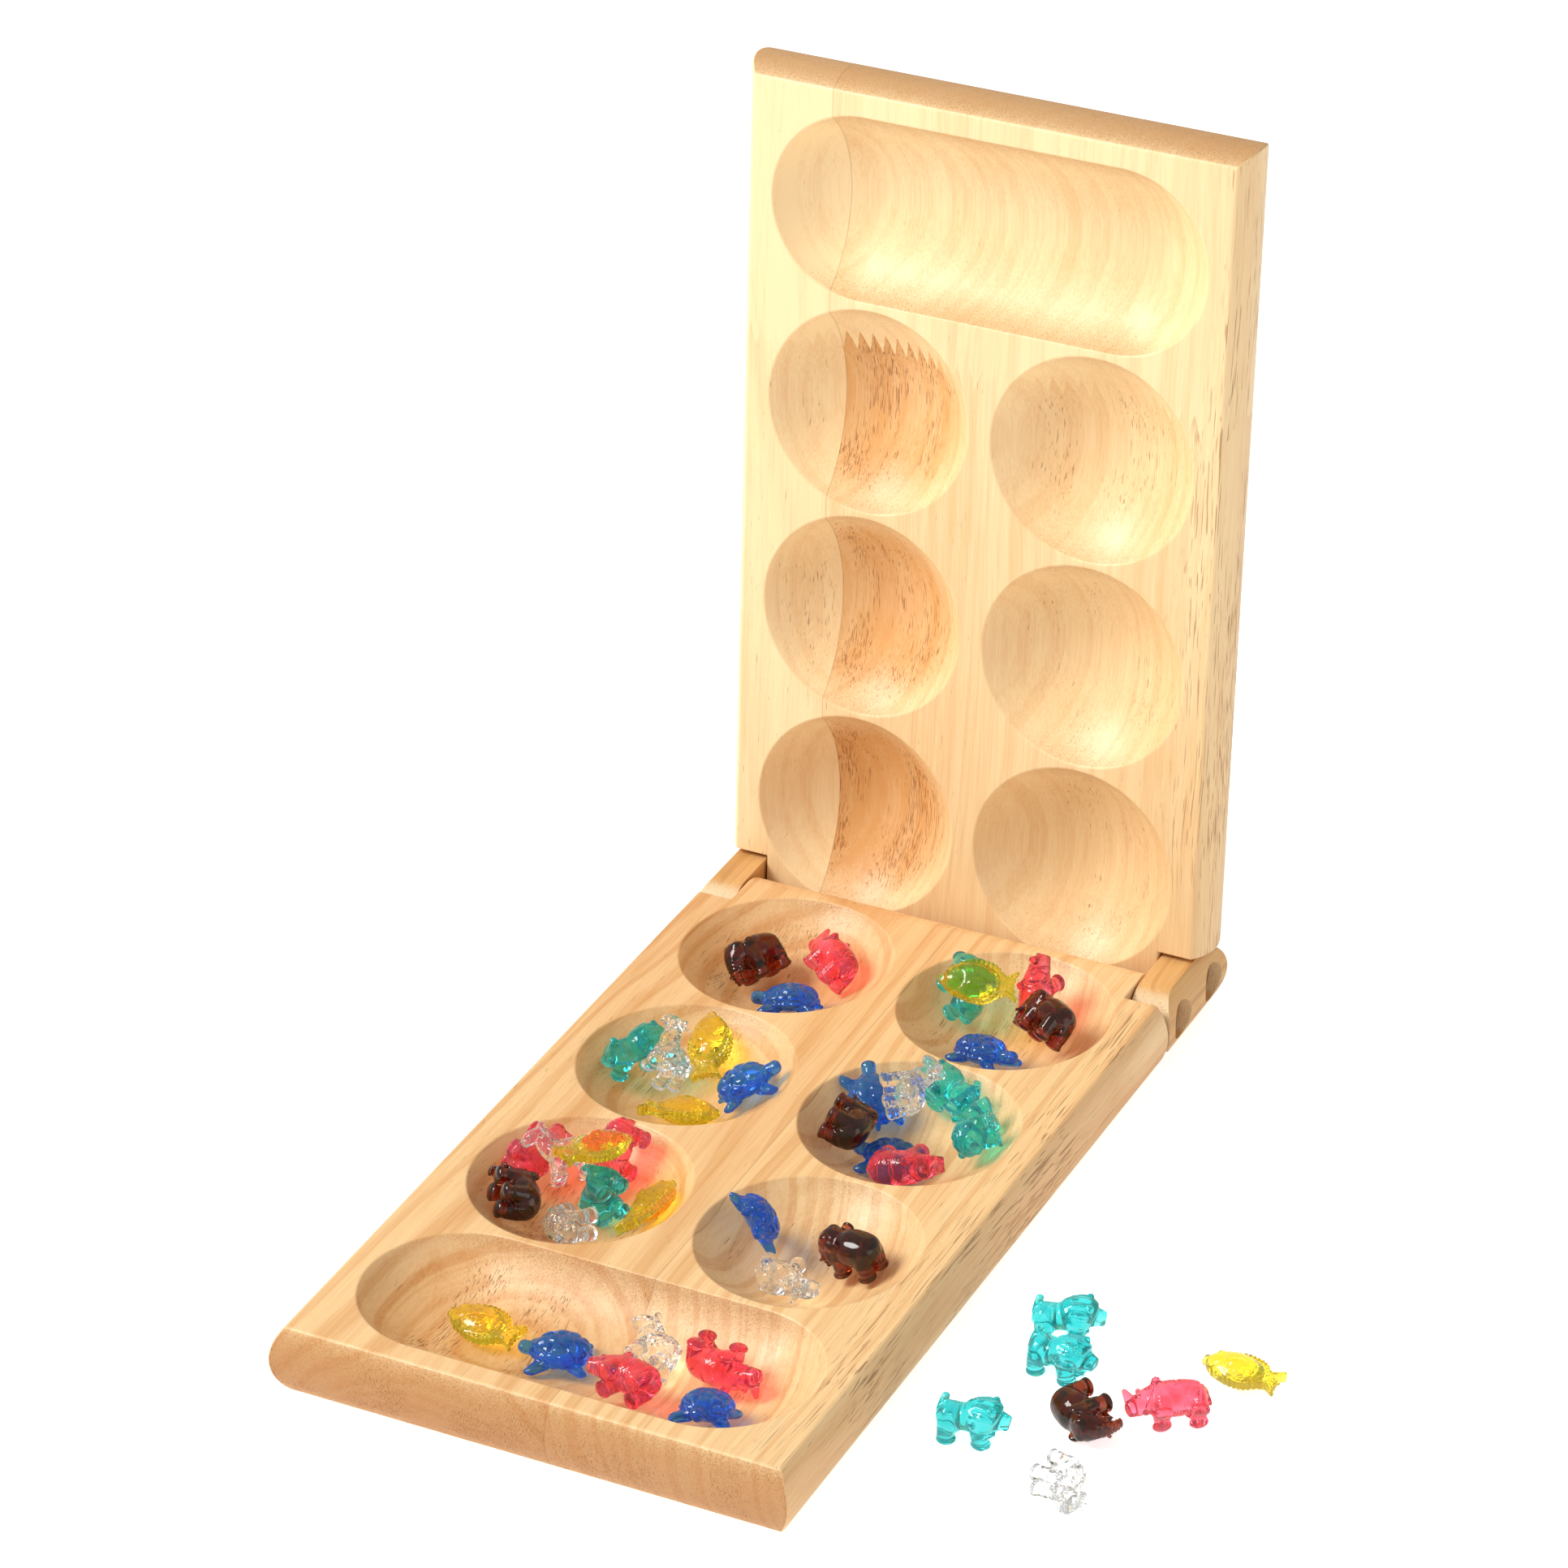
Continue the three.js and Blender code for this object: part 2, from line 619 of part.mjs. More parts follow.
// Finds room for a piece: at its chosen place, or else at the nearest one where it lies below the
// folded lid.
function settle(turned, well, others, x, y) {
  const piece = { points: turned.getMesh().vertProperties, wide: grown(turned) };
  let best = null;
  for (let ring = 0; ring <= settleRings; ring += 1) {
    const count = ring === 0 ? 1 : settleDirections;
    for (let turn = 0; turn < count; turn += 1) {
      const angle = (2 * Math.PI * turn) / settleDirections;
      const tryX = x + ring * settleStep * Math.cos(angle);
      const tryY = y + ring * settleStep * Math.sin(angle);
      const { z, over } = lowerOnto(piece, well, others, tryX, tryY);
      if (!best || over < best.over) best = { at: [tryX, tryY, z], over };
      if (over <= 0) return best.at;
    }
  }
  return best.at;
}

// Places the pieces of one heap one after another, as meshes with their own position and turn.
function heap(heapName, rows, well, obstacles, placeOf) {
  const group = new THREE.Group();
  const placed = [...obstacles];
  const counts = {};
  for (const [animal, across, along, ...angles] of rows) {
    const [x, y] = placeOf(across, along);
    const turn = pieceTurn(well, x, y, angles);
    const matrix = new THREE.Matrix4().makeRotationFromQuaternion(turn);
    const turned = animals[animal].transform(matrix.elements);
    const at = settle(turned, well, placed, x, y);
    placed.push(turned.translate(at));
    counts[animal] = (counts[animal] ?? 0) + 1;
    const name = `${animal}_${heapName}_${counts[animal]}`;
    const mesh = namedMesh(name, animals[animal], plasticMaterial(plasticColours[animal]));
    mesh.position.set(...at);
    mesh.quaternion.copy(turn);
    group.add(mesh);
  }
  return group;
}

// The pieces in the wells of the half that lies down.
function heapsInWells(half) {
  const group = new THREE.Group();
  for (const [name, rows] of Object.entries(heapShares)) {
    const well = wells[name];
    const placeOf = (across, along) => [well.x + across * pitRadius, well.y + along * pitRadius];
    group.add(heap(name, rows, well, [half], placeOf));
  }
  return group;
}

// The loose pieces on the table at the board's right.
function looseHeap() {
  const middleY = noseRadius - halfLength / 2;
  const placeOf = (out, along) => [
    boardWidth / 2 + out * looseOffset,
    middleY + along * looseRowSpacing,
  ];
  return heap('loose', looseStepShares, null, [], placeOf);
}

// The half that lies down, with its near pins and the pieces, about the near pivot.
function lowerHalf(half) {
  const group = new THREE.Group();
  group.add(namedMesh('lower_board', half, woodMaterial(woodColour)));
  group.add(namedMesh('near_pin_left', dowelPin(-1), woodMaterial(pinColour)));
  group.add(namedMesh('near_pin_right', dowelPin(1), woodMaterial(pinColour)));
  return group;
}

// The half that stands, about the far pivot: the same half turned end for end.
function upperHalf(half) {
  const turned = new THREE.Group();
  turned.rotation.z = Math.PI;
  turned.add(namedMesh('upper_board', half, woodMaterial(woodColour)));
  turned.add(namedMesh('far_pin_right', dowelPin(-1), woodMaterial(pinColour)));
  turned.add(namedMesh('far_pin_left', dowelPin(1), woodMaterial(pinColour)));
  const group = new THREE.Group();
  group.position.y = pivotSpacing;
  group.rotation.x = standingAngle;
  group.add(turned);
  return group;
}

// The whole board: everything is placed from the near pivot.
function mancalaBoard() {
  const half = boardHalf();
  const atPivot = new THREE.Group();
  atPivot.position.set(0, nearPivotY, noseRadius);
  atPivot.add(lowerHalf(half));
  atPivot.add(namedMesh('link_left', linkBlock(-1), woodMaterial(linkColour)));
  atPivot.add(namedMesh('link_right', linkBlock(1), woodMaterial(linkColour)));
  atPivot.add(upperHalf(half));
  atPivot.add(heapsInWells(half));
  atPivot.add(looseHeap());
  const board = new THREE.Group();
  board.add(atPivot);
  return board;
}

export default mancalaBoard();
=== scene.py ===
"""Folding mancala board of solid wood, open on a pale floor, with its clear plastic animals.

Lengths are written in millimetres and meshes are built in them, then brought to metres in the
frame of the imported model: X runs across the board, Y along it and Z up.
"""
from __future__ import annotations

import logging
import math
from dataclasses import dataclass, field
from enum import Enum

import bmesh
import bpy
import numpy as np
from mathutils import Matrix, Quaternion, Vector


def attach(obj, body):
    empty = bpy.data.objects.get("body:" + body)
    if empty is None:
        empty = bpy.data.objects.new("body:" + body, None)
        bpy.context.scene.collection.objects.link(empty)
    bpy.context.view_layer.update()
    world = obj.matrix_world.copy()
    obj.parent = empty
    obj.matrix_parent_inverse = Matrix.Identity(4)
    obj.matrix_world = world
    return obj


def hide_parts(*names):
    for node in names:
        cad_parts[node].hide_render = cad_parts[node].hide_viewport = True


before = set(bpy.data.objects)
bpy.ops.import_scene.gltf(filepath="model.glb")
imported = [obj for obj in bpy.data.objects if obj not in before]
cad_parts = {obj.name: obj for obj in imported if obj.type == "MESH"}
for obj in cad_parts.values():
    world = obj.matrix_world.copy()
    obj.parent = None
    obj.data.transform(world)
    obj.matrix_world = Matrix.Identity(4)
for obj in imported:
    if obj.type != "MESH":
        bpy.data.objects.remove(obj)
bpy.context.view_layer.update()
LOG = logging.getLogger("mancala_board")
MM = 0.001
Colour = tuple[float, float, float]
Point2 = tuple[float, float]
Share3 = tuple[float, float, float]
Piece = bpy.types.Object
Socket = bpy.types.NodeSocket
Node = bpy.types.Node


class Axis(Enum):
    """The direction that a drawn section is drawn out along."""

    ACROSS = "x"
    ALONG = "y"


class Cut(Enum):
    """What a tool does to the piece that it meets."""

    AWAY = "DIFFERENCE"
    WITHIN = "INTERSECT"


class Side(Enum):
    """The left or right of the board, as the sign of X."""

    LEFT = -1
    RIGHT = 1


def linear(red: int, green: int, blue: int) -> Colour:
    """Turn a colour as a screen shows it, 0 to 255, into the linear one that a shader takes.

    Args:
        red: its red part.
        green: its green part.
        blue: its blue part.

    Returns:
        The linear colour, 0 to 1.
    """
    def channel(value: int) -> float:
        """One of its parts, by the curve that all screens use."""
        share = value / 255.0
        return share / 12.92 if share <= 0.04045 else ((share + 0.055) / 1.055) ** 2.4

    return channel(red), channel(green), channel(blue)


# Meshes


# Lengths in millimetres and angles in degrees
WELD_WITHIN = 1e-5
EASE_STEPS = 3
CREASE_OVER = 28.0
SHARP_OVER = 34.0
FACE_WEIGHT = 60


def face_outwards(mesh: bpy.types.Mesh) -> None:
    """Weld a mesh's doubled vertices and turn all its faces outwards.

    Args:
        mesh: the mesh.
    """
    work = bmesh.new()
    work.from_mesh(mesh)
    bmesh.ops.remove_doubles(work, verts=work.verts, dist=WELD_WITHIN)
    bmesh.ops.recalc_face_normals(work, faces=work.faces)
    work.to_mesh(mesh)
    work.free()


def object_from(name: str, vertices: list, faces: list) -> Piece:
    """Make an object from vertices and faces, with its faces turned outwards.

    Args:
        name: name of the object and its mesh.
        vertices: places of the vertices, in millimetres.
        faces: vertex numbers of each face.

    Returns:
        The object, linked to the scene.
    """
    mesh = bpy.data.meshes.new(name)
    mesh.from_pydata(vertices, [], faces)
    face_outwards(mesh)
    piece = bpy.data.objects.new(name, mesh)
    bpy.context.scene.collection.objects.link(piece)
    return piece


def apply_modifiers(piece: Piece) -> None:
    """Turn what a piece's modifiers make into its mesh, and remove them.

    Args:
        piece: the piece.
    """
    graph = bpy.context.evaluated_depsgraph_get()
    mesh = bpy.data.meshes.new_from_object(piece.evaluated_get(graph))
    before = piece.data
    piece.modifiers.clear()
    piece.data = mesh
    mesh.name = piece.name
    bpy.data.meshes.remove(before)


def carve(piece: Piece, tool: Piece, cut: Cut = Cut.AWAY) -> None:
    """Cut a piece with a tool, and remove the tool.

    Args:
        piece: the piece that is cut.
        tool: a closed form that cuts it.
        cut: whether what lies in the tool goes away or is all that stays.
    """
    step = piece.modifiers.new("cut", "BOOLEAN")
    step.operation = cut.value
    step.object = tool
    step.solver = "EXACT"
    apply_modifiers(piece)
    face_outwards(piece.data)
    form = tool.data
    bpy.data.objects.remove(tool)
    bpy.data.meshes.remove(form)


def soften(piece: Piece, width: float) -> None:
    """Round the creases of a piece to a width in millimetres.

    Args:
        piece: the piece.
        width: width of the rounding.
    """
    ease = piece.modifiers.new("ease", "BEVEL")
    ease.width = width
    ease.segments = EASE_STEPS
    ease.limit_method = "ANGLE"
    ease.angle_limit = math.radians(CREASE_OVER)
    ease.use_clamp_overlap = True
    apply_modifiers(piece)


def shade(piece: Piece, sharp_over: float = SHARP_OVER) -> None:
    """Shade a piece smoothly, with flat faces kept flat and corners over an angle kept sharp.

    Args:
        piece: the piece.
        sharp_over: the angle in degrees.
    """
    for face in piece.data.polygons:
        face.use_smooth = True
    piece.data.set_sharp_from_angle(angle=math.radians(sharp_over))
    even = piece.modifiers.new("even", "WEIGHTED_NORMAL")
    even.keep_sharp = True
    even.weight = FACE_WEIGHT
    apply_modifiers(piece)


def prism(name: str, section: list[Point2], axis: Axis, start: float, end: float) -> Piece:
    """Draw a closed section out along an axis.

    Args:
        name: name of the object.
        section: its corners, as (along the board, up) for ACROSS and (across, up) for ALONG.
        axis: the direction it is drawn out along.
        start: where it starts on that axis.
        end: where it ends.

    Returns:
        The closed prism.
    """
    count = len(section)
    places = []
    for place in (start, end):
        for first, up in section:
            places.append((place, first, up) if axis is Axis.ACROSS else (first, place, up))
    faces = [tuple(range(count)), tuple(range(count, 2 * count))]
    for i in range(count):
        after = (i + 1) % count
        faces.append((i, after, count + after, count + i))
    return object_from(name, places, faces)


def turned(name: str, profile: list[Point2], steps: int, run: float = 0.0) -> Piece:
    """Turn a profile of (radius, height) about the height axis.

    Args:
        name: name of the object.
        profile: the profile, with radius nought at both its ends.
        steps: how many facets go round.
        run: how far the two halves stand apart along X, which makes a round well a long one.

    Returns:
        The closed form.
    """
    places = []
    for radius, height in profile:
        for step in range(steps):
            angle = 2 * math.pi * (step + 0.5) / steps
            shift = math.copysign(run / 2, math.cos(angle))
            x = radius * math.cos(angle) + shift
            places.append((x, radius * math.sin(angle), height))
    faces = []
    for row in range(len(profile) - 1):
        for step in range(steps):
            after = (step + 1) % steps
            low, high = row * steps, (row + 1) * steps
            faces.append((low + step, low + after, high + after, high + step))
    return object_from(name, places, faces)


def arc(centre: Point2, radius: float, start: float, end: float, steps: int) -> list[Point2]:
    """Points on an arc of a circle, both its ends among them, with its angles in radians.

    Args:
        centre: the middle of the circle.
        radius: its radius.
        start: where the arc starts.
        end: where it ends.
        steps: how many steps it is made in.

    Returns:
        The points in order.
    """
    points = []
    for i in range(steps + 1):
        angle = start + (end - start) * i / steps
        points.append((centre[0] + radius * math.cos(angle), centre[1] + radius * math.sin(angle)))
    return points


def place_piece(piece: Piece, matrix: Matrix) -> None:
    """Bring a mesh drawn in millimetres to metres, and set its object in the model's frame.

    Args:
        piece: the piece, drawn in its own frame.
        matrix: where that frame stands, with its shift in millimetres.
    """
    if not piece.data.get("in_metres"):
        piece.data.transform(Matrix.Scale(MM, 4))
        piece.data["in_metres"] = True
    stand = matrix.copy()
    stand.translation = matrix.translation * MM
    piece.matrix_world = stand


def dress(
    piece: Piece, material: bpy.types.Material, slot: str, body: str, *nodes: str
) -> None:
    """Give a piece its finish, its body and the solids that it stands for.

    Args:
        piece: the piece, already in place.
        material: its finish.
        slot: the record's material slot; not used.
        body: the body that it rides on.
        nodes: the solids it replaces.
    """
    if not piece.data.materials:
        piece.data.materials.append(material)
    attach(piece, body)
    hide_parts(*nodes)
    LOG.info("%s: %d faces on %s", piece.name, len(piece.data.polygons), body)


# Node sheets


@dataclass(frozen=True)
class Pattern:
    """A pattern of soft noise.

    It has a pitch of its cells in millimetres and a detail, and it fades in between two values.
    """

    pitch: Share3
    detail: float
    low: float = 0.0
    high: float = 1.0


class Sheet:
    """Writes nodes into one node tree, one step to a call."""

    def __init__(self, tree: bpy.types.NodeTree) -> None:
        """Keep the tree that the nodes go into."""
        self.tree = tree

    def node(self, kind: str, **settings: object) -> Node:
        """Add a node of a kind, with its settings.

        Args:
            kind: its type.
            settings: its own settings by name.

        Returns:
            The node.
        """
        made = self.tree.nodes.new(kind)
        for key, value in settings.items():
            setattr(made, key, value)
        return made

    def feed(self, socket: Socket, value: object) -> None:
        """Link a socket to another one, or set its own value.

        Args:
            socket: the socket.
            value: the other socket, a number, a vector or a colour.
        """
        if isinstance(value, Socket):
            self.tree.links.new(value, socket)
        elif isinstance(value, tuple) and socket.type == "RGBA":
            socket.default_value = (*value, 1.0)
        else:
            socket.default_value = value

    def put(self, node: Node, **values: object) -> None:
        """Feed a node's inputs by name, with underscores for spaces."""
        for key, value in values.items():
            self.feed(node.inputs[key.replace("_", " ")], value)

    def math(self, operation: str, *values: object, clamp: bool = False) -> Socket:
        """One step of arithmetic.

        Args:
            operation: what is done.
            values: what it is done to.
            clamp: whether the result is kept between 0 and 1.

        Returns:
            The result.
        """
        made = self.node("ShaderNodeMath", operation=operation, use_clamp=clamp)
        for socket, value in zip(made.inputs, values):
            self.feed(socket, value)
        return made.outputs[0]

    def product(self, *values: object) -> Socket:
        """Values multiplied together.

        Args:
            values: two values or more.

        Returns:
            Their product.
        """
        made = values[0]
        for value in values[1:]:
            made = self.math("MULTIPLY", made, value)
        return made

    def outside(self, mask: Socket) -> Socket:
        """All that a mask leaves out."""
        return self.math("SUBTRACT", 1.0, mask)

    def layered(
        self, base: object, layers: list[tuple[object, object]], clamp: bool = False
    ) -> Socket:
        """Add layers to a base.

        Args:
            base: the value that they are added to.
            layers: each one's value, and the share of it that is added.
            clamp: whether the sum is kept between 0 and 1.

        Returns:
            The sum.
        """
        made = base
        for value, share in layers[:-1]:
            made = self.math("MULTIPLY_ADD", value, share, made)
        return self.math("MULTIPLY_ADD", *layers[-1], made, clamp=clamp)

    def vector(self, operation: str, *values: object) -> Socket:
        """One step of vector arithmetic.

        Args:
            operation: what is done.
            values: what it is done to.

        Returns:
            The result.
        """
        made = self.node("ShaderNodeVectorMath", operation=operation)
        for socket, value in zip(made.inputs, values):
            self.feed(socket, value)
        return made.outputs[0]

    def scaled(self, vector: Socket, factor: float) -> Socket:
        """A vector times a number."""
        made = self.node("ShaderNodeVectorMath", operation="SCALE")
        self.feed(made.inputs[0], vector)
        made.inputs["Scale"].default_value = factor
        return made.outputs[0]

    def stretched(self, vector: Socket, pitch: Share3) -> Socket:
        """A vector in millimetres, counted in cells of a given pitch on each axis."""
        return self.vector("MULTIPLY", vector, tuple(1.0 / step for step in pitch))

    def split(self, vector: Socket) -> list[Socket]:
        """The three parts of a vector."""
        made = self.node("ShaderNodeSeparateXYZ")
        self.feed(made.inputs[0], vector)
        return list(made.outputs)

    def joined(self, x: object, y: object, z: object) -> Socket:
        """A vector from its three parts."""
        made = self.node("ShaderNodeCombineXYZ")
        for socket, value in zip(made.inputs, (x, y, z)):
            self.feed(socket, value)
        return made.outputs[0]

    def noise(self, vector: Socket, pattern: Pattern) -> Node:
        """Soft noise over a vector in millimetres.

        Args:
            vector: the vector.
            pattern: the noise's pitch and detail.

        Returns:
            The node of the noise.
        """
        made = self.node("ShaderNodeTexNoise")
        cells = self.stretched(vector, pattern.pitch)
        self.put(made, Vector=cells, Scale=1.0, Detail=pattern.detail)
        return made

    def shown(self, value: Socket, pattern: Pattern) -> Socket:
        """How much of a pattern shows for a value of its noise."""
        return self.ramp(value, pattern.low, pattern.high)

    def line_noise(self, along: Socket, detail: float) -> Socket:
        """Noise along a single number.

        Args:
            along: the number.
            detail: how much fine noise is added.

        Returns:
            The noise, 0 to 1.
        """
        made = self.node("ShaderNodeTexNoise", noise_dimensions="1D")
        self.put(made, W=along, Scale=1.0, Detail=detail)
        return made.outputs["Fac"]

    def cells(self, vector: Socket) -> Socket:
        """Distance to the nearest of some scattered cells, one to a unit."""
        made = self.node("ShaderNodeTexVoronoi")
        self.put(made, Vector=vector, Scale=1.0)
        return made.outputs["Distance"]

    def ramp(self, value: object, low: object, high: object) -> Socket:
        """A smooth step from 0 to 1 between two limits, which falls where low is above high.

        Args:
            value: what is measured.
            low: where the step begins.
            high: where it ends.

        Returns:
            The step.
        """
        made = self.node("ShaderNodeMapRange", interpolation_type="SMOOTHSTEP")
        self.put(made, Value=value, From_Min=low, From_Max=high)
        return made.outputs[0]

    def blend(self, share: object, first: object, second: object) -> Socket:
        """A colour between two others.

        Args:
            share: how much of the second one it takes.
            first: the first colour.
            second: the second colour.

        Returns:
            The colour.
        """
        made = self.node("ShaderNodeMix", data_type="RGBA")
        self.feed(made.inputs[0], share)
        self.feed(made.inputs[6], first)
        self.feed(made.inputs[7], second)
        return made.outputs[2]

    def group(self, tree: bpy.types.NodeTree, finish: object, **values: object) -> Node:
        """Place a shader group.

        Args:
            tree: the group.
            finish: the finish whose fields feed the inputs of the same names.
            values: what feeds the other inputs.

        Returns:
            The group's node.
        """
        made = self.node("ShaderNodeGroup")
        made.node_tree = tree
        self.put(made, **values)
        for socket in made.inputs:
            value = getattr(finish, socket.name.lower().replace(" ", "_"), None)
            if value is not None:
                self.feed(socket, value)
        return made

    def lay_on(self, shader: Node, effect: Node, strength: float, relief: float) -> None:
        """Feed a group's colour, roughness and height to a shader.

        Args:
            shader: the shader.
            effect: the group's node.
            strength: how strongly its height shows.
            relief: what a height of one stands for, in metres.
        """
        bump = self.node("ShaderNodeBump")
        self.put(bump, Strength=strength, Distance=relief, Height=effect.outputs["Height"])
        self.put(
            shader, Base_Color=effect.outputs["Colour"], Roughness=effect.outputs["Roughness"],
            Normal=bump.outputs["Normal"],
        )


def new_group(name: str, inputs: dict[str, str], outputs: dict[str, str]) -> tuple:
    """Start a shader group with named sockets.

    Args:
        name: name of the group.
        inputs: socket type for each input's name.
        outputs: socket type for each output's name.

    Returns:
        The group, a sheet on it, its input node and its output node.
    """
    tree = bpy.data.node_groups.new(name, "ShaderNodeTree")
    for label, kind in inputs.items():
        tree.interface.new_socket(name=label, in_out="INPUT", socket_type=kind)
    for label, kind in outputs.items():
        tree.interface.new_socket(name=label, in_out="OUTPUT", socket_type=kind)
    sheet = Sheet(tree)
    return tree, sheet, sheet.node("NodeGroupInput"), sheet.node("NodeGroupOutput")


class WoodGrain:
    """Shader group of solid wood: growth rings, fibres, glued staves and open pores.

    Lengths in it are in millimetres, and it is drawn in the frame of a half of the board: X
    across, Y along, and Z from the outer face to the one with the wells.
    """

    NUMBERS = (
        "Seam", "Slant", "Heart Across", "Heart Depth", "Ring Share", "Pore Share", "Stave Tone",
        "Depth Tone", "Depth Across", "Depth Spread", "Joint", "End From", "Open Side",
    )
    SWAY = Pattern((34.0, 130.0, 34.0), 2.0)
    SWAY_REACH: Share3 = (9.0, 0.0, 9.0)
    COARSE = Pattern((2.2, 95.0, 2.2), 3.0, 0.38, 0.7)
    FINE = Pattern((0.42, 18.0, 0.42), 2.0, 0.3, 0.8)
    BROAD = Pattern((21.0, 150.0, 21.0), 1.0, 0.3, 0.7)
    DRIFT = Pattern((13.0, 60.0, 13.0), 2.0, 0.34, 0.62)
    GRIT = Pattern((0.34, 0.34, 0.34), 2.0, 0.54, 0.7)
    FACE_FLECK = Pattern((0.27, 5.0, 0.9), 1.0, 0.79, 0.87)
    FLANK_FLECK = Pattern((0.9, 7.0, 0.27), 1.0)
    VESSEL = Pattern((0.34, 17.0, 0.34), 1.0, 0.6, 0.68)
    VESSEL_DRIFT = (0.4, 0.52)
    SHORT_PORE_PITCH: Share3 = (0.42, 3.0, 0.9)
    # How far the patterns jump to the next stave, and to the next length of wood
    STAVE_SHIFT = (61.0, 173.0)
    LENGTH_SHIFT = (260.0, 8.0)
    FINGERS_FROM = 200.0
    FINGER_WIDTH = 1.55
    FINGER_SLOPE = 3.6
    # The heart line sinks by this much for each step along the board
    HEART_RISE = 0.045
    RINGS_PER_MM = 0.34
    RING_DETAIL = 3.0
    RING_LIMITS = (0.42, 0.66)
    # Heights between which the wood of the wells fades in, from the face and from the back
    UNDER_THE_FACE = (7.4, 0.5)
    OVER_THE_BACK = (-7.2, -4.6)
    # The browner wood fades out between these shares of its spread
    DEPTH_EDGE = (1.35, 0.75)
    # Distances from the middle between which the open margin begins
    MARGIN = (47.0, 57.0)
    FLANK_FROM = 0.8
    END_FADE = 0.36
    GLUE_LINE = (0.22, 0.06)

    _tree: bpy.types.NodeTree | None = None

    @classmethod
    def tree(cls) -> bpy.types.NodeTree:
        """The group, built on first use."""
        if cls._tree is None:
            cls._tree = cls().group
        return cls._tree

    def __init__(self) -> None:
        """Build the group, with colour, roughness and height that vary over the surface."""
        number, colour, vector = "NodeSocketFloat", "NodeSocketColor", "NodeSocketVector"
        inputs = dict.fromkeys(("Point", "Facing"), vector)
        inputs.update(dict.fromkeys(("Pale", "Deep", "Pore", "End"), colour))
        inputs.update(dict.fromkeys(self.NUMBERS, number))
        self.group, s, given, out = new_group(
            "solid_wood_grain", inputs, {"Colour": colour, "Roughness": number, "Height": number}
        )
        self.sheet, self.given = s, given.outputs
        self.lay_out()
        self.coarse, self.fine = self.noise(self.COARSE), self.noise(self.FINE)
        self.drift, self.grit = self.noise(self.DRIFT), self.noise(self.GRIT)
        self.end, self.flank = self.ends_and_flanks()
        self.inside, self.brown = self.depth()
        long_pore, short_pore = self.pores()
        roughness = [(s.shown(self.fine, self.FINE), 0.1), (long_pore, 0.25), (self.end, 0.12)]
        height = [
            (short_pore, -0.35), (self.fine, 0.35), (self.coarse, 0.6),
            (s.product(self.end, self.grit), 1.6),
        ]
        s.put(
            out, Colour=self.colour(self.tone(), long_pore, short_pore),
            Roughness=s.layered(0.42, roughness, clamp=True),
            Height=s.layered(s.product(long_pore, -1.0), height),
        )

    def lay_out(self) -> None:
        """Find the stave and the length of wood that a point lies in, and warp its place."""
        s, given = self.sheet, self.given
        point = s.scaled(given["Point"], 1 / MM)
        self.x, self.y, self.z = s.split(point)
        self.leant = s.math("MULTIPLY_ADD", self.y, given["Slant"], self.x)
        self.stave = s.math("GREATER_THAN", self.leant, given["Seam"])
        # Beyond a finger joint across the board comes another length of wood
        finger = s.math("PINGPONG", s.math("ADD", self.x, self.FINGERS_FROM), self.FINGER_WIDTH)
        toothed = s.math("SUBTRACT", given["Joint"], s.product(finger, self.FINGER_SLOPE))
        self.beyond = s.math("LESS_THAN", self.y, toothed)
        along = s.layered(s.product(self.stave, self.STAVE_SHIFT[1]),
                          [(self.beyond, self.LENGTH_SHIFT[0])])
        jump = s.joined(s.product(self.stave, self.STAVE_SHIFT[0]), along,
                        s.product(self.beyond, self.LENGTH_SHIFT[1]))
        shifted = s.vector("ADD", point, jump)
        bend = s.vector("SUBTRACT", s.noise(shifted, self.SWAY).outputs["Color"], (0.5, 0.5, 0.5))
        self.warped = s.vector("ADD", shifted, s.vector("MULTIPLY", bend, self.SWAY_REACH))

    def noise(self, pattern: Pattern) -> Socket:
        """A pattern's noise in the warped wood."""
        return self.sheet.noise(self.warped, pattern).outputs["Fac"]

    def ends_and_flanks(self) -> tuple[Socket, Socket]:
        """Masks of end grain, with a ragged edge, and of the long side faces.

        Returns:
            The two masks.
        """
        s, begins = self.sheet, self.given["End From"]
        sideways, lengthwise, _ = s.split(self.given["Facing"])
        ragged = s.layered(
            s.math("ABSOLUTE", lengthwise), [(s.math("SUBTRACT", self.grit, 0.5), 0.3)]
        )
        end = s.ramp(ragged, begins, s.math("ADD", begins, self.END_FADE))
        return end, s.math("GREATER_THAN", s.math("ABSOLUTE", sideways), self.FLANK_FROM)

    def depth(self) -> tuple[Socket, Socket]:
        """Masks of the wood inside the wells, which the tone also deepens as painted shade, and of
        the browner wood that some of them open.

        Returns:
            The two masks.
        """
        s, spread = self.sheet, self.given["Depth Spread"]
        under, over = (s.ramp(self.z, *at) for at in (self.UNDER_THE_FACE, self.OVER_THE_BACK))
        inside = s.product(under, over)
        aside = s.math("ABSOLUTE", s.math("SUBTRACT", self.x, self.given["Depth Across"]))
        near = s.ramp(aside, *(s.product(spread, share) for share in self.DEPTH_EDGE))
        return inside, s.product(inside, near, s.outside(self.beyond), s.outside(self.stave))

    def tone(self) -> Socket:
        """How deep the wood's colour is, from its rings, fibres, staves and browner wood, and
        painted shade inside the wells.

        Returns:
            The share of the deep colour, 0 to 1.
        """
        s, given = self.sheet, self.given
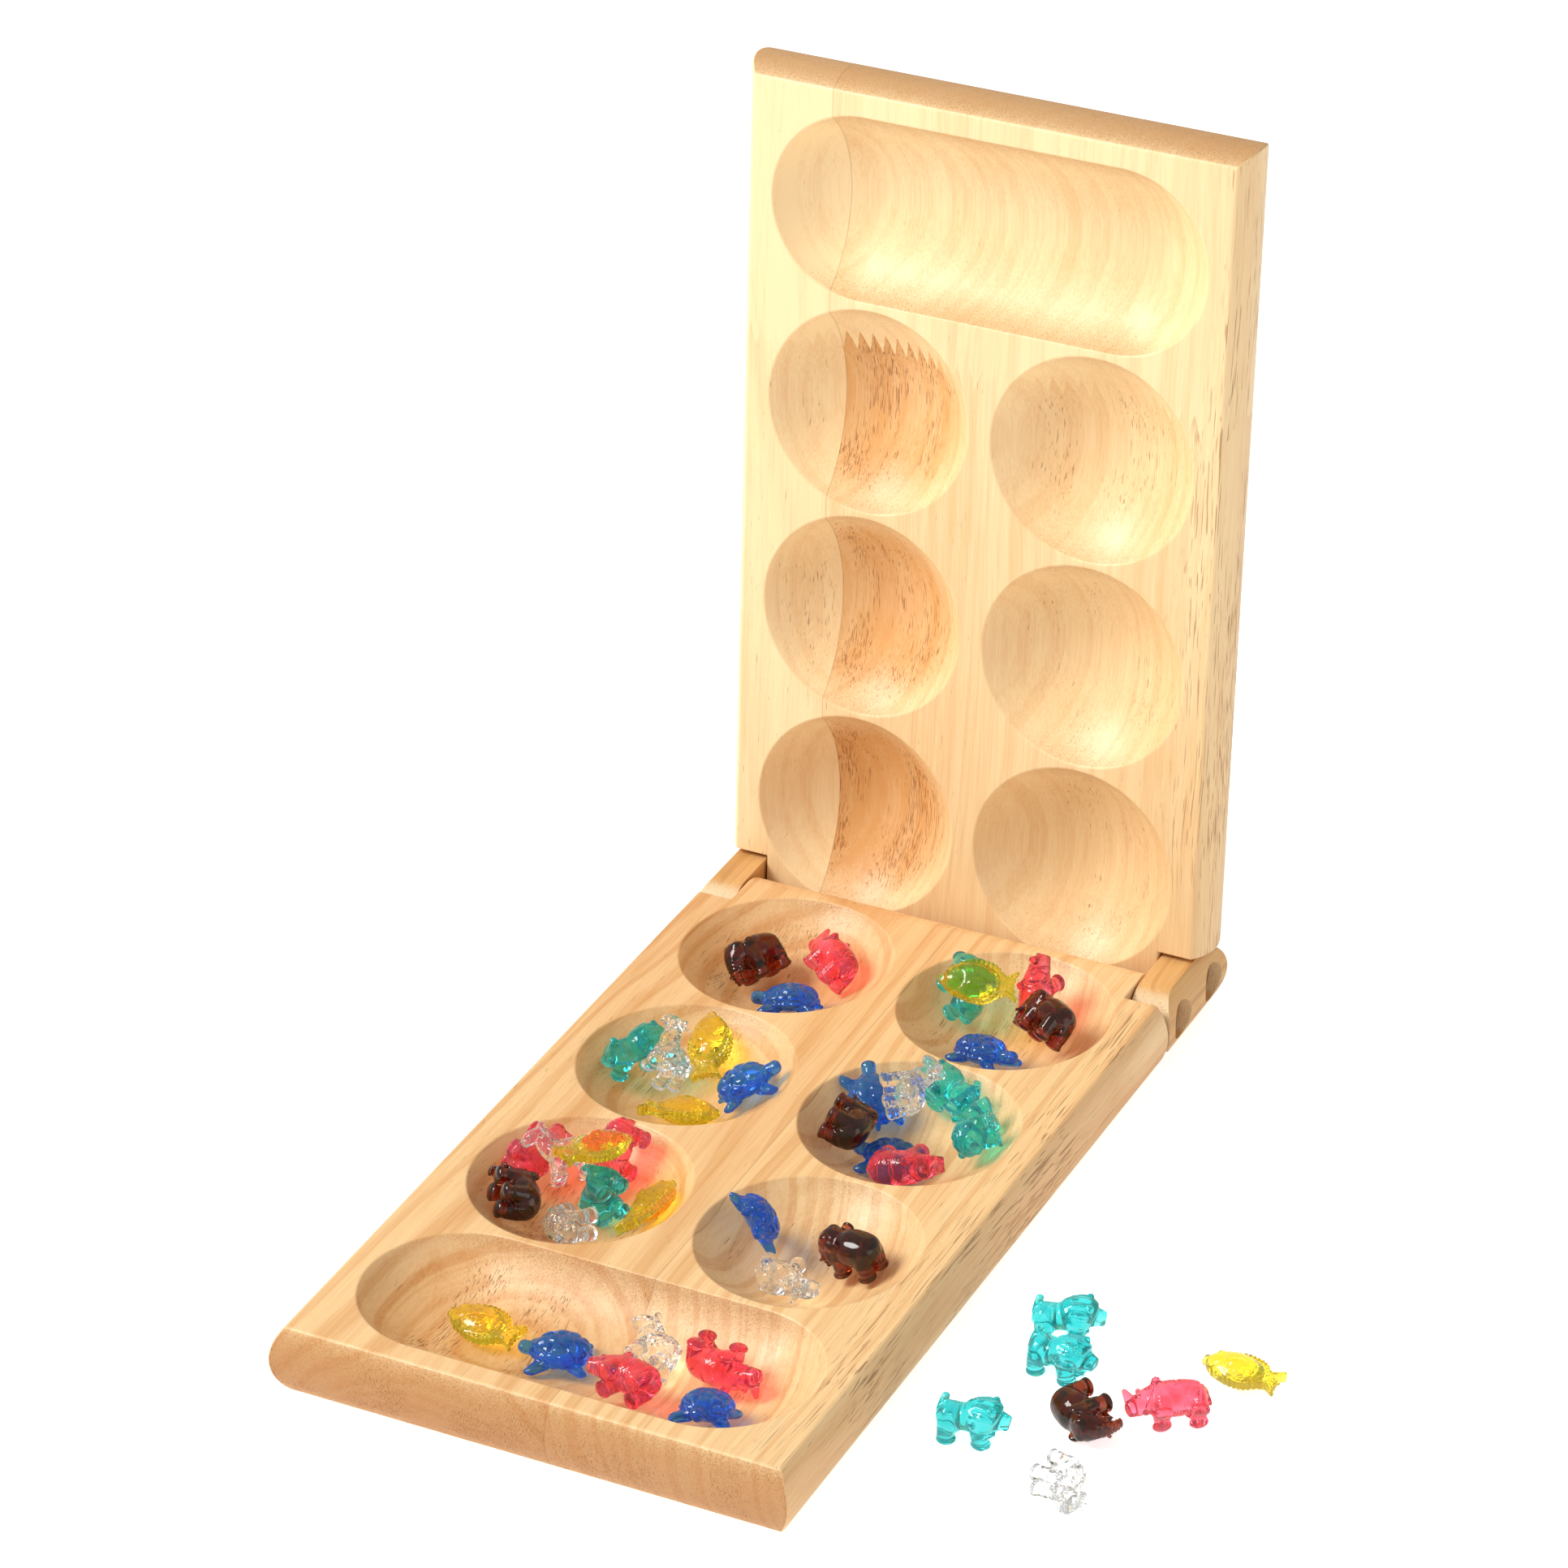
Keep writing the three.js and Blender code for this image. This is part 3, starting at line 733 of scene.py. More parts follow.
        # Growth rings run round a heart line along the board
        across, _, deep = s.split(self.warped)
        across = s.math("SUBTRACT", across, given["Heart Across"])
        deep = s.math("SUBTRACT", deep, given["Heart Depth"])
        deep = s.layered(deep, [(self.y, self.HEART_RISE)])
        ring = s.math("SQRT", s.math("ADD", s.product(across, across), s.product(deep, deep)))
        bands = s.line_noise(s.product(ring, self.RINGS_PER_MM), self.RING_DETAIL)
        streaks = s.math("MULTIPLY_ADD", given["Ring Share"], 0.3, 0.07)
        layers = [
            (s.shown(self.coarse, self.COARSE), streaks),
            (s.shown(self.fine, self.FINE), 0.22),
            (s.shown(self.noise(self.BROAD), self.BROAD), 0.2),
            # Painted shade: all wood inside the wells is made a little deeper, standing for shade
            # in the hollows
            (self.stave, given["Stave Tone"]), (self.inside, 0.1), (self.beyond, -0.13),
            (self.brown, given["Depth Tone"]),
        ]
        bands = s.product(s.ramp(bands, *self.RING_LIMITS), given["Ring Share"])
        return s.layered(bands, layers, clamp=True)

    def pores(self) -> tuple[Socket, Socket]:
        """Open pores: long ones scattered in drifts, and faint short ones between them.

        Returns:
            The masks of the long and of the short ones.
        """
        s, given = self.sheet, self.given
        plenty = s.math("MULTIPLY_ADD", self.inside, 0.54, 0.46)
        plenty = s.product(plenty, s.math("MULTIPLY_ADD", self.beyond, -0.7, 1.0))
        crowd = s.product(s.shown(self.drift, self.DRIFT), given["Pore Share"])
        crowd = s.product(crowd, s.layered(plenty, [(self.brown, 0.5)]))
        crowd = s.layered(crowd, [(s.math("MAXIMUM", self.end, self.flank), 0.3)])
        fleck = self.noise(self.FACE_FLECK)
        dash = s.math("SUBTRACT", self.noise(self.FLANK_FLECK), fleck)
        fleck = s.layered(fleck, [(dash, self.flank)])
        limit = s.math("MULTIPLY_ADD", crowd, -0.21, self.FACE_FLECK.low)
        width = self.FACE_FLECK.high - self.FACE_FLECK.low
        long_pore = s.ramp(fleck, limit, s.math("ADD", limit, width))
        # One margin of each half shows long brown vessels
        margin = s.ramp(s.product(self.x, given["Open Side"]), *self.MARGIN)
        vessel = s.product(s.shown(self.noise(self.VESSEL), self.VESSEL), margin)
        vessel = s.product(vessel, s.ramp(self.drift, *self.VESSEL_DRIFT))
        short_pore = s.ramp(s.cells(s.stretched(self.warped, self.SHORT_PORE_PITCH)), 0.3, 0.1)
        short_pore = s.product(short_pore, s.outside(self.flank), crowd)
        return s.math("MAXIMUM", long_pore, vessel), short_pore

    def colour(self, tone: Socket, long_pore: Socket, short_pore: Socket) -> Socket:
        """The wood's colour.

        Args:
            tone: how deep it is.
            long_pore: mask of the long pores.
            short_pore: mask of the short ones.

        Returns:
            The colour, with pores, end grain and the glue line.
        """
        s, given = self.sheet, self.given
        wood = s.blend(tone, given["Pale"], given["Deep"])
        dark = s.layered(s.product(long_pore, 0.6), [(short_pore, 0.22)], clamp=True)
        wood = s.blend(dark, wood, given["Pore"])
        # End grain takes up the finish in its own way: another tone, with a dull grit
        wood = s.blend(s.product(self.end, 0.76), wood, given["End"])
        dots = s.product(self.end, s.shown(self.grit, self.GRIT))
        wood = s.blend(s.product(dots, 0.3), wood, given["Pore"])
        # The glue line is a hair darker
        off = s.math("ABSOLUTE", s.math("SUBTRACT", self.leant, given["Seam"]))
        return s.blend(s.product(s.ramp(off, *self.GLUE_LINE), 0.28), wood, given["Pore"])


class MouldedTint:
    """Shader group of tinted moulded plastic: faint flow marks in its colour, gloss and skin."""

    FLOW = Pattern((5.0, 3.0, 3.0), 3.0, 0.3, 0.7)
    SKIN = Pattern((1.3, 1.3, 1.3), 2.0)
    SPECK = Pattern((0.35, 0.35, 0.35), 1.0, 0.55, 0.8)

    _tree: bpy.types.NodeTree | None = None

    @classmethod
    def tree(cls) -> bpy.types.NodeTree:
        """The group, built on first use."""
        if cls._tree is None:
            cls._tree = cls._build()
        return cls._tree

    @classmethod
    def _build(cls) -> bpy.types.NodeTree:
        """Build the group, with colour, roughness and height that vary over the surface."""
        number, colour, vector = "NodeSocketFloat", "NodeSocketColor", "NodeSocketVector"
        tree, s, given, out = new_group(
            "moulded_tint",
            {"Point": vector, "Tint": colour, "Thin Tint": colour},
            {"Colour": colour, "Roughness": number, "Height": number},
        )
        point = s.scaled(given.outputs["Point"], 1 / MM)
        patterns = (cls.FLOW, cls.SKIN, cls.SPECK)
        flow, skin, speck = (s.noise(point, pattern).outputs["Fac"] for pattern in patterns)
        tints = (given.outputs["Tint"], given.outputs["Thin Tint"])
        s.put(
            out, Colour=s.blend(s.shown(flow, cls.FLOW), *tints),
            Roughness=s.layered(0.045, [(s.shown(speck, cls.SPECK), 0.06)]),
            Height=s.layered(skin, [(speck, 0.12)]),
        )
        return tree


def new_material(name: str) -> tuple[bpy.types.Material, Sheet, Node, Node]:
    """Start a material.

    Args:
        name: name of the material.

    Returns:
        The material, a sheet on its tree, its main shader and its output node.
    """
    material = bpy.data.materials.new(name)
    material.use_nodes = True
    tree = material.node_tree
    return material, Sheet(tree), tree.nodes["Principled BSDF"], tree.nodes["Material Output"]


@dataclass(frozen=True)
class WoodFinish:
    """Varnished solid wood of one log: tones, where its heart lies and where it is glued."""

    name: str
    pale: Colour
    deep: Colour
    pore: Colour
    end: Colour
    seam: float
    slant: float = 0.0
    heart_across: float = 0.0
    heart_depth: float = -40.0
    ring_share: float = 0.35
    pore_share: float = 0.5
    stave_tone: float = 0.1
    depth_tone: float = 0.0
    depth_across: float = 0.0
    depth_spread: float = 30.0
    joint: float = -900.0
    end_from: float = 0.6
    open_side: float = 0.0
    coat: float = 0.14
    coat_roughness: float = 0.24
    gloss: float = 0.45
    bump: float = 0.7
    relief: float = 0.00007

    def material(self) -> bpy.types.Material:
        """Build the material of this wood."""
        material, s, shader, _ = new_material(self.name)
        spot = s.node("ShaderNodeTexCoord").outputs
        grain = s.group(WoodGrain.tree(), self, Point=spot["Object"], Facing=spot["Normal"])
        s.lay_on(shader, grain, self.bump, self.relief)
        s.put(
            shader, Coat_Weight=self.coat, Coat_Roughness=self.coat_roughness,
            Specular_IOR_Level=self.gloss,
        )
        return material


@dataclass(frozen=True)
class PlasticFinish:
    """Clear tinted plastic: its skin's tint, and how its depth takes up light."""

    name: str
    tint: Colour
    thin_tint: Colour
    depth_colour: Colour
    density: float
    shadow: Colour
    clearness: float
    bump: float = 0.2
    relief: float = 0.00006
    bending: float = 1.49

    def material(self) -> bpy.types.Material:
        """Build the material of this plastic."""
        material, s, shader, out = new_material(self.name)
        spot = s.node("ShaderNodeTexCoord").outputs
        skin = s.group(MouldedTint.tree(), self, Point=spot["Object"])
        s.lay_on(shader, skin, self.bump, self.relief)
        s.put(shader, Transmission_Weight=self.clearness, IOR=self.bending)
        # Light reaches what lies behind the piece, coloured by it
        clear = s.node("ShaderNodeBsdfTransparent")
        s.put(clear, Color=self.shadow)
        both = s.node("ShaderNodeMixShader")
        s.feed(both.inputs[0], s.node("ShaderNodeLightPath").outputs["Is Shadow Ray"])
        s.feed(both.inputs[1], shader.outputs[0])
        s.feed(both.inputs[2], clear.outputs[0])
        depth = s.node("ShaderNodeVolumeAbsorption")
        s.put(depth, Color=self.depth_colour, Density=self.density)
        s.put(out, Surface=both.outputs[0], Volume=depth.outputs[0])
        return material


# The two halves' tones are partly their own wood and partly painted light: the standing upper half
# is painted paler, as if lit, and the lying lower half deeper and more orange, as painted shade.
LOWER_WOOD = WoodFinish(
    "lower_board_wood", pale=linear(245, 208, 154), deep=linear(210, 145, 78),
    pore=linear(122, 68, 30), end=linear(178, 120, 64), seam=3.0, slant=0.01,
    heart_across=-24.0, heart_depth=-38.0, ring_share=0.36, pore_share=0.72, stave_tone=-0.16,
    depth_tone=0.12, depth_spread=60.0, open_side=1.0,
)
UPPER_WOOD = WoodFinish(
    "upper_board_wood", pale=linear(252, 223, 172), deep=linear(224, 164, 98),
    pore=linear(150, 84, 40), end=linear(196, 142, 86), seam=37.0, slant=0.012,
    heart_across=90.0, heart_depth=-70.0, ring_share=0.14, pore_share=0.8, stave_tone=-0.1,
    depth_tone=0.5, depth_across=25.0, depth_spread=26.0, joint=-141.0, open_side=-1.0,
)
LINK_WOOD = WoodFinish(
    "link_wood", pale=linear(236, 188, 122), deep=linear(200, 142, 78),
    pore=linear(120, 70, 34), end=linear(246, 220, 176), seam=500.0, heart_across=20.0,
    heart_depth=-30.0, ring_share=0.45, pore_share=0.4, end_from=0.24, relief=0.00016,
)
PIN_WOOD = WoodFinish(
    "pin_wood", pale=linear(196, 138, 84), deep=linear(140, 88, 46), pore=linear(78, 44, 22),
    end=linear(150, 98, 54), seam=500.0, heart_across=2.0, heart_depth=-6.0, ring_share=0.5,
    pore_share=0.6, coat=0.05,
)


# The board


EDGE_STEPS = 14
NOSE_STEPS = 36
LINK_END_STEPS = 32
BAR_FACETS = 48
BAR_EASE_STEPS = 5


@dataclass(frozen=True)
class BoardSizes:
    """Sizes of the board and its hinge, in millimetres."""

    width: float = 125.0
    thickness: float = 16.5
    edge_bulge: float = 3.0
    pit_radius: float = 25.4
    pit_depth: float = 12.0
    pit_rows: int = 3
    pit_gap: float = 1.2
    column_gap: float = 5.7
    pivot_to_pit: float = 0.3
    store_gap: float = 1.6
    store_width: float = 45.0
    store_length: float = 108.4
    end_margin: float = 5.2
    tongue_width: float = 102.4
    pivot_spacing: float = 18.0
    shoulder_clearance: float = 0.65
    link_clearance: float = 0.5
    pin_radius: float = 4.5
    pin_clearance: float = 0.3
    pin_recess: float = 3.0
    pin_embed: float = 18.0
    standing_angle: float = 85.6
    overrun: float = 4.0

    @property
    def nose(self) -> float:
        """Radius of the round nose at the pivot."""
        return self.thickness / 2

    @property
    def bulge_radius(self) -> float:
        """Radius of the shallow arc of the board's edges."""
        return (self.nose**2 + self.edge_bulge**2) / (2 * self.edge_bulge)

    @property
    def bulge_angle(self) -> float:
        """Half the angle that this arc spans, in radians."""
        return math.asin(self.nose / self.bulge_radius)

    @property
    def row_pitch(self) -> float:
        """Distance from one pit's centre to the next along the board."""
        return 2 * self.pit_radius + self.pit_gap

    @property
    def column_offset(self) -> float:
        """Distance of a pit's centre from the middle of the board."""
        return self.pit_radius + self.column_gap / 2

    @property
    def store_centre(self) -> float:
        """Distance of the store's centre from the pivot."""
        last = self.pit_radius + self.pivot_to_pit + (self.pit_rows - 1) * self.row_pitch
        return last + self.pit_radius + self.store_gap + self.store_width / 2

    @property
    def flat_length(self) -> float:
        """Length of the flat face from the pivot to the far edge."""
        return self.store_centre + self.store_width / 2 + self.end_margin

    @property
    def near_pivot(self) -> Vector:
        """Place of the pivot of the half that lies down."""
        length = self.flat_length + self.edge_bulge + self.nose
        return Vector((0.0, length / 2 - self.nose, self.nose))

    def lower_frame(self) -> Matrix:
        """Where the half that lies down has its own frame."""
        return Matrix.Translation(self.near_pivot)

    def upper_frame(self) -> Matrix:
        """Where the half that stands has its own frame."""
        pivot = self.near_pivot + Vector((0.0, self.pivot_spacing, 0.0))
        stand = Matrix.Rotation(math.radians(self.standing_angle), 4, "X")
        return Matrix.Translation(pivot) @ stand @ Matrix.Rotation(math.pi, 4, "Z")


@dataclass(frozen=True)
class Well:
    """A well of the board in a half's own frame: its centre, radius, and straight run along X."""

    x: float
    y: float
    radius: float
    run: float

    def ball(self, depth: float) -> float:
        """Radius of the ball that hollows it."""
        return (self.radius**2 + depth**2) / (2 * depth)


def wells_of(sizes: BoardSizes) -> dict[str, Well]:
    """The seven wells of a half by name: six round pits and the long store.

    Args:
        sizes: the board's sizes.

    Returns:
        Each well by its name.
    """
    wells = {}
    for column, side in (("left", Side.LEFT), ("right", Side.RIGHT)):
        for row, name in enumerate(("back", "middle", "front")):
            y = -(sizes.pit_radius + sizes.pivot_to_pit + row * sizes.row_pitch)
            x = side.value * sizes.column_offset
            wells[f"{name}_{column}"] = Well(x, y, sizes.pit_radius, 0.0)
    run = sizes.store_length - sizes.store_width
    wells["store"] = Well(0.0, -sizes.store_centre, sizes.store_width / 2, run)
    return wells


def cross_section(sizes: BoardSizes) -> list[Point2]:
    """Section across the board: two flat faces between two bulged edges.

    Args:
        sizes: the board's sizes.

    Returns:
        Its corners, as (across, up).
    """
    middle = sizes.width / 2 - sizes.bulge_radius
    half = sizes.bulge_angle
    right = arc((middle, 0.0), sizes.bulge_radius, -half, half, EDGE_STEPS)
    ends = (math.pi - half, math.pi + half)
    return right + arc((-middle, 0.0), sizes.bulge_radius, *ends, EDGE_STEPS)


def length_section(sizes: BoardSizes) -> list[Point2]:
    """Section along the board: a round nose at the pivot and a bulged edge at the far end.

    Args:
        sizes: the board's sizes.

    Returns:
        Its corners, as (along, up).
    """
    nose = arc((0.0, 0.0), sizes.nose, -math.pi / 2, math.pi / 2, NOSE_STEPS)
    middle = -(sizes.flat_length + sizes.edge_bulge - sizes.bulge_radius)
    ends = (math.pi - sizes.bulge_angle, math.pi + sizes.bulge_angle)
    return nose + arc((middle, 0.0), sizes.bulge_radius, *ends, EDGE_STEPS)


def cross_bar(name: str, radius: float, start: float, end: float, ease: float) -> Piece:
    """A round bar along X through the pivot.

    Args:
        name: name of the object.
        radius: its radius.
        start: where it starts on X.
        end: where it ends.
        ease: how much its end corners are rounded off.

    Returns:
        The bar.
    """
    length = end - start
    profile = [(0.0, 0.0)]
    if ease > 0:
        inner, quarter = radius - ease, math.pi / 2
        profile += arc((inner, ease), ease, -quarter, 0.0, BAR_EASE_STEPS)
        profile += arc((inner, length - ease), ease, 0.0, quarter, BAR_EASE_STEPS)
    else:
        profile += [(radius, 0.0), (radius, length)]
    bar = turned(name, profile + [(0.0, length)], BAR_FACETS)
    turn = Matrix.Translation((start, 0.0, 0.0)) @ Matrix.Rotation(math.pi / 2, 4, "Y")
    bar.data.transform(turn)
    return bar


@dataclass
class BoardHalf:
    """One half of the board, hollowed with its wells, in a frame with its pivot at the origin."""

    sizes: BoardSizes
    crease: float = 0.5
    rim: float = 0.42
    rings: int = 26
    rim_steps: int = 6
    rim_lift: float = 0.004
    facets: int = 112

    def build(self) -> Piece:
        """Shape the half: its blank, shoulders, pin holes, eased creases and wells.

        Returns:
            The half, drawn in its own frame.
        """
        sizes = self.sizes
        beyond = sizes.width / 2 + sizes.overrun
        reach = sizes.flat_length + sizes.edge_bulge + sizes.overrun
        top = sizes.nose + sizes.overrun
        half = prism("board_half", length_section(sizes), Axis.ACROSS, -beyond, beyond)
        carve(half, prism("edges", cross_section(sizes), Axis.ALONG, -reach, top), Cut.WITHIN)
        shoulder = -(sizes.nose + sizes.shoulder_clearance)
        corner = [(shoulder, -top), (top, -top), (top, top), (shoulder, top)]
        for side in Side:
            ends = sorted((side.value * sizes.tongue_width / 2, side.value * beyond))
            carve(half, prism("shoulder", corner, Axis.ACROSS, *ends))
            inner = sizes.tongue_width / 2 - sizes.pin_embed
            outer = sizes.tongue_width / 2 + sizes.overrun
            ends = sorted((side.value * inner, side.value * outer))
            carve(half, cross_bar("hole", sizes.pin_radius + sizes.pin_clearance, *ends, 0.0))
        soften(half, self.crease)
        for well in wells_of(sizes).values():
            carve(half, self.cutter(well))
        shade(half)
        return half

    def cutter(self, well: Well) -> Piece:
        """The form that hollows a well and eases its rim.

        Args:
            well: the well.

        Returns:
            The cutter, standing in the half's frame.
        """
        depth = self.sizes.pit_depth
        ball = well.ball(depth)
        rim_angle = math.asin(well.radius / ball)
        last = rim_angle - self.rim / ball
        profile = []
        for ring in range(self.rings + 1):
            angle = last * ring / self.rings
            profile.append((ball * math.sin(angle), ball - ball * math.cos(angle) - depth))
        # The rim is a bend from the bowl's edge, by way of the well's true edge, to the flat face
        start_out, start_up = profile[-1]
        for step in range(1, self.rim_steps + 1):
            t = step / self.rim_steps
            rest = (1 - t) ** 2
            out = rest * start_out + 2 * t * (1 - t) * well.radius
            out += t * t * (well.radius + self.rim)
            profile.append((out, rest * start_up + (1 - rest) * self.rim_lift))
        profile += [(well.radius + self.rim, self.sizes.overrun), (0.0, self.sizes.overrun)]
        tool = turned("well_cutter", profile, self.facets, well.run)
        tool.data.transform(Matrix.Translation((well.x, well.y, self.sizes.nose)))
        return tool

    def place(self) -> None:
        """Build both halves, set them on their bodies and give each its wood."""
        lower = self.build()
        lower.name = "lower_board_wood"
        upper = lower.copy()
        upper.data = lower.data.copy()
        upper.name = "upper_board_wood"
        bpy.context.scene.collection.objects.link(upper)
        place_piece(lower, self.sizes.lower_frame())
        place_piece(upper, self.sizes.upper_frame())
        dress(lower, LOWER_WOOD.material(), "board_wood", "lower_half", "lower_board")
        dress(upper, UPPER_WOOD.material(), "board_wood", "upper_half", "upper_board")


@dataclass
class Hinge:
    """The two link blocks and four dowel pins that let the board fold flat either way."""

    sizes: BoardSizes
    crease: float = 0.4
    pin_ease: float = 0.5
    pin_sharp_over: float = 40.0

    def link(self, side: Side) -> Piece:
        """One link block: round-ended, bulged on its outer side, with two pin holes.

        Args:
            side: the side of the board that it sits on.

        Returns:
            The block, drawn in the lower half's frame.
        """
        sizes = self.sizes
        nose, spacing = sizes.nose, sizes.pivot_spacing
        quarter = math.pi / 2
        section = arc((spacing, 0.0), nose, -quarter, quarter, LINK_END_STEPS)
        section += arc((0.0, 0.0), nose, quarter, 3 * quarter, LINK_END_STEPS)
        inner = sizes.tongue_width / 2 + sizes.link_clearance
        ends = sorted((side.value * inner, side.value * (sizes.width / 2 + sizes.overrun)))
        block = prism(f"link_{side.name.lower()}_wood", section, Axis.ACROSS, *ends)
        reach = nose + sizes.overrun
        edge = prism("edge", cross_section(sizes), Axis.ALONG, -reach, spacing + reach)
        carve(block, edge, Cut.WITHIN)
        for place in (0.0, spacing):
            hole = cross_bar("hole", sizes.pin_radius + sizes.pin_clearance, *ends, 0.0)
            hole.data.transform(Matrix.Translation((0.0, place, 0.0)))
            carve(block, hole)
        soften(block, self.crease)
        shade(block)
        return block

    def pin(self, name: str, side: Side) -> Piece:
        """A dowel pin, from its seat inside the tongue to its recess in the link block.

        Args:
            name: name of the object.
            side: the side that it sits on, in its own half.

        Returns:
            The pin, drawn in its half's frame.
        """
        sizes = self.sizes
        inner = sizes.tongue_width / 2 - sizes.pin_embed + sizes.pin_clearance
        ends = sorted((side.value * inner, side.value * (sizes.width / 2 - sizes.pin_recess)))
        pin = cross_bar(name, sizes.pin_radius, *ends, self.pin_ease)
        shade(pin, self.pin_sharp_over)
        return pin

    def place(self) -> None:
        """Build the links and pins and set them on their bodies."""
        link_wood, pin_wood = LINK_WOOD.material(), PIN_WOOD.material()
        lower, upper = self.sizes.lower_frame(), self.sizes.upper_frame()
        for side in Side:
            label = side.name.lower()
            block = self.link(side)
            place_piece(block, lower)
            dress(block, link_wood, "link_wood", "links", f"link_{label}")
            near = self.pin(f"near_pin_{label}_wood", side)
            place_piece(near, lower)
            dress(near, pin_wood, "pin_wood", "lower_half", f"near_pin_{label}")
            # The standing half is turned end for end, so its own left is the board's right
            far = self.pin(f"far_pin_{label}_wood", Side(-side.value))
            place_piece(far, upper)
            dress(far, pin_wood, "pin_wood", "upper_half", f"far_pin_{label}")


# The playing pieces


class Clay:
    """Closed forms laid into one another, then melted into one skin, in shares of a size."""

    BALL_FACETS = (24, 14)
    LIMB_FACETS = (20, 12)
    LEG_TAPER = 0.92
    TOE_FORWARD = 0.012
    TOE_HALF_HEIGHT = 0.085
    TOE_LENGTH = 1.12
    TOE_WIDTH = 1.06
    TRUNK_STEPS = 6
    TRUNK_HEIGHT = 0.93
    TRUNK_WIDTH = 0.97
    PLATE_ROUNDS = 3
    CALMING = 0.5

    def __init__(self, size: Share3) -> None:
        """Start with nothing, for an animal of a size in millimetres."""
        self.size = Vector(size)
        self.work = bmesh.new()

    def at(self, share: Share3) -> Vector:
        """The place in millimetres of a place in shares."""
        return Vector(tuple(part * whole for part, whole in zip(share, self.size)))

    def ball(self, share: Share3, half: Share3, tip: float = 0.0) -> None:
        """Lay in a ball.

        Args:
            share: its centre, in shares.
            half: its half axes, in shares.
            tip: how far its nose is tipped up, in degrees.
        """
        stretch = Matrix.Diagonal((*self.at(half), 1.0))
        tilt = Matrix.Rotation(math.radians(-tip), 4, "Y")
        matrix = Matrix.Translation(self.at(share)) @ tilt @ stretch
        self.sphere(self.BALL_FACETS, 1.0, matrix)

    def sphere(self, facets: tuple[int, int], radius: float, matrix: Matrix) -> None:
        """Lay in a sphere of so many facets round and so many up.

        Args:
            facets: the two counts.
            radius: its radius before it is stretched.
            matrix: where it goes and how it is stretched.
        """
        bmesh.ops.create_uvsphere(
            self.work, u_segments=facets[0], v_segments=facets[1], radius=radius, matrix=matrix
        )

    def balls(self, share: Share3, half: Share3, tip: float = 0.0) -> None:
        """Lay in the same ball on both sides.

        Args:
            share: its centre on the left, in shares.
            half: its half axes, in shares.
            tip: how far its nose is tipped up, in degrees.
        """
        for side in (-1, 1):
            self.ball((share[0], side * share[1], share[2]), half, tip)

    def limb(self, start: Share3, end: Share3, thick: float, thin: float) -> None:
        """Lay in a limb with round ends.

        Args:
            start: where it starts, in shares.
            end: where it ends, in shares.
            thick: its radius at the start, as a share of the width.
            thin: its radius at the end, as a share of the width.
        """
        first, last = self.at(start), self.at(end)
        radii = (thick * self.size.y, thin * self.size.y)
        along = last - first
        turn = Vector((0.0, 0.0, 1.0)).rotation_difference(along).to_matrix().to_4x4()
        matrix = Matrix.Translation((first + last) / 2) @ turn
        bmesh.ops.create_cone(
            self.work, cap_ends=True, segments=self.LIMB_FACETS[0], radius1=radii[0],
            radius2=radii[1], depth=along.length, matrix=matrix,
        )
        for place, radius in zip((first, last), radii):
            self.sphere(self.LIMB_FACETS, radius, Matrix.Translation(place))

    def limbs(self, start: Share3, end: Share3, thick: float, thin: float) -> None:
        """Lay in the same limb on both sides.

        Args:
            start: where the left one starts, in shares.
            end: where it ends, in shares.
            thick: its radius at the start, as a share of the width.
            thin: its radius at the end, as a share of the width.
        """
        for side in (-1, 1):
            first = (start[0], side * start[1], start[2])
            last = (end[0], side * end[1], end[2])
            self.limb(first, last, thick, thin)

    def leg(self, hip: Share3, foot: Share3, thick: float) -> None:
        """Lay in a pair of legs that end in flat feet.

        Args:
            hip: where the left one starts, in shares.
            foot: where its sole is, in shares.
            thick: its radius, as a share of the width.
        """
        sole = (foot[0], foot[1], foot[2] + thick * self.size.y / self.size.z)
        self.limbs(hip, sole, thick, thick * self.LEG_TAPER)
        toe = (foot[0] + self.TOE_FORWARD, foot[1], foot[2] + self.TOE_HALF_HEIGHT)
        length = thick * self.TOE_LENGTH * self.size.y / self.size.x
        self.balls(toe, (length, thick * self.TOE_WIDTH, self.TOE_HALF_HEIGHT))

    def trunk(self, sections: list[tuple[float, float, float, float]], sides: int = 24) -> None:
        """Lay in a lofted trunk.

        Args:
            sections: each one's place forward and up, half width and half height, in shares.
            sides: how many facets go round it.
        """
        rows = smooth_rows(sections, self.TRUNK_STEPS)
        points = [(forward * self.size.x, up * self.size.z) for forward, up, _, _ in rows]
        rings = []
        for i, (_, _, half_width, half_height) in enumerate(rows):
            before, after = points[max(i - 1, 0)], points[min(i + 1, len(points) - 1)]
            along = Vector((after[0] - before[0], after[1] - before[1])).normalized()
            ring = []
            for side in range(sides):
                angle = 2 * math.pi * side / sides
                rise = math.cos(angle) * half_height * self.TRUNK_HEIGHT * self.size.z
                y = math.sin(angle) * half_width * self.TRUNK_WIDTH * self.size.y
                place = (points[i][0] - rise * along.y, y, points[i][1] + rise * along.x)
                ring.append(self.work.verts.new(place))
            rings.append(ring)
        for low, high in zip(rings, rings[1:]):
            for side in range(sides):
                after = (side + 1) % sides
                self.work.faces.new((low[side], low[after], high[after], high[side]))
        self.work.faces.new(list(reversed(rings[0])))
        self.work.faces.new(rings[-1])

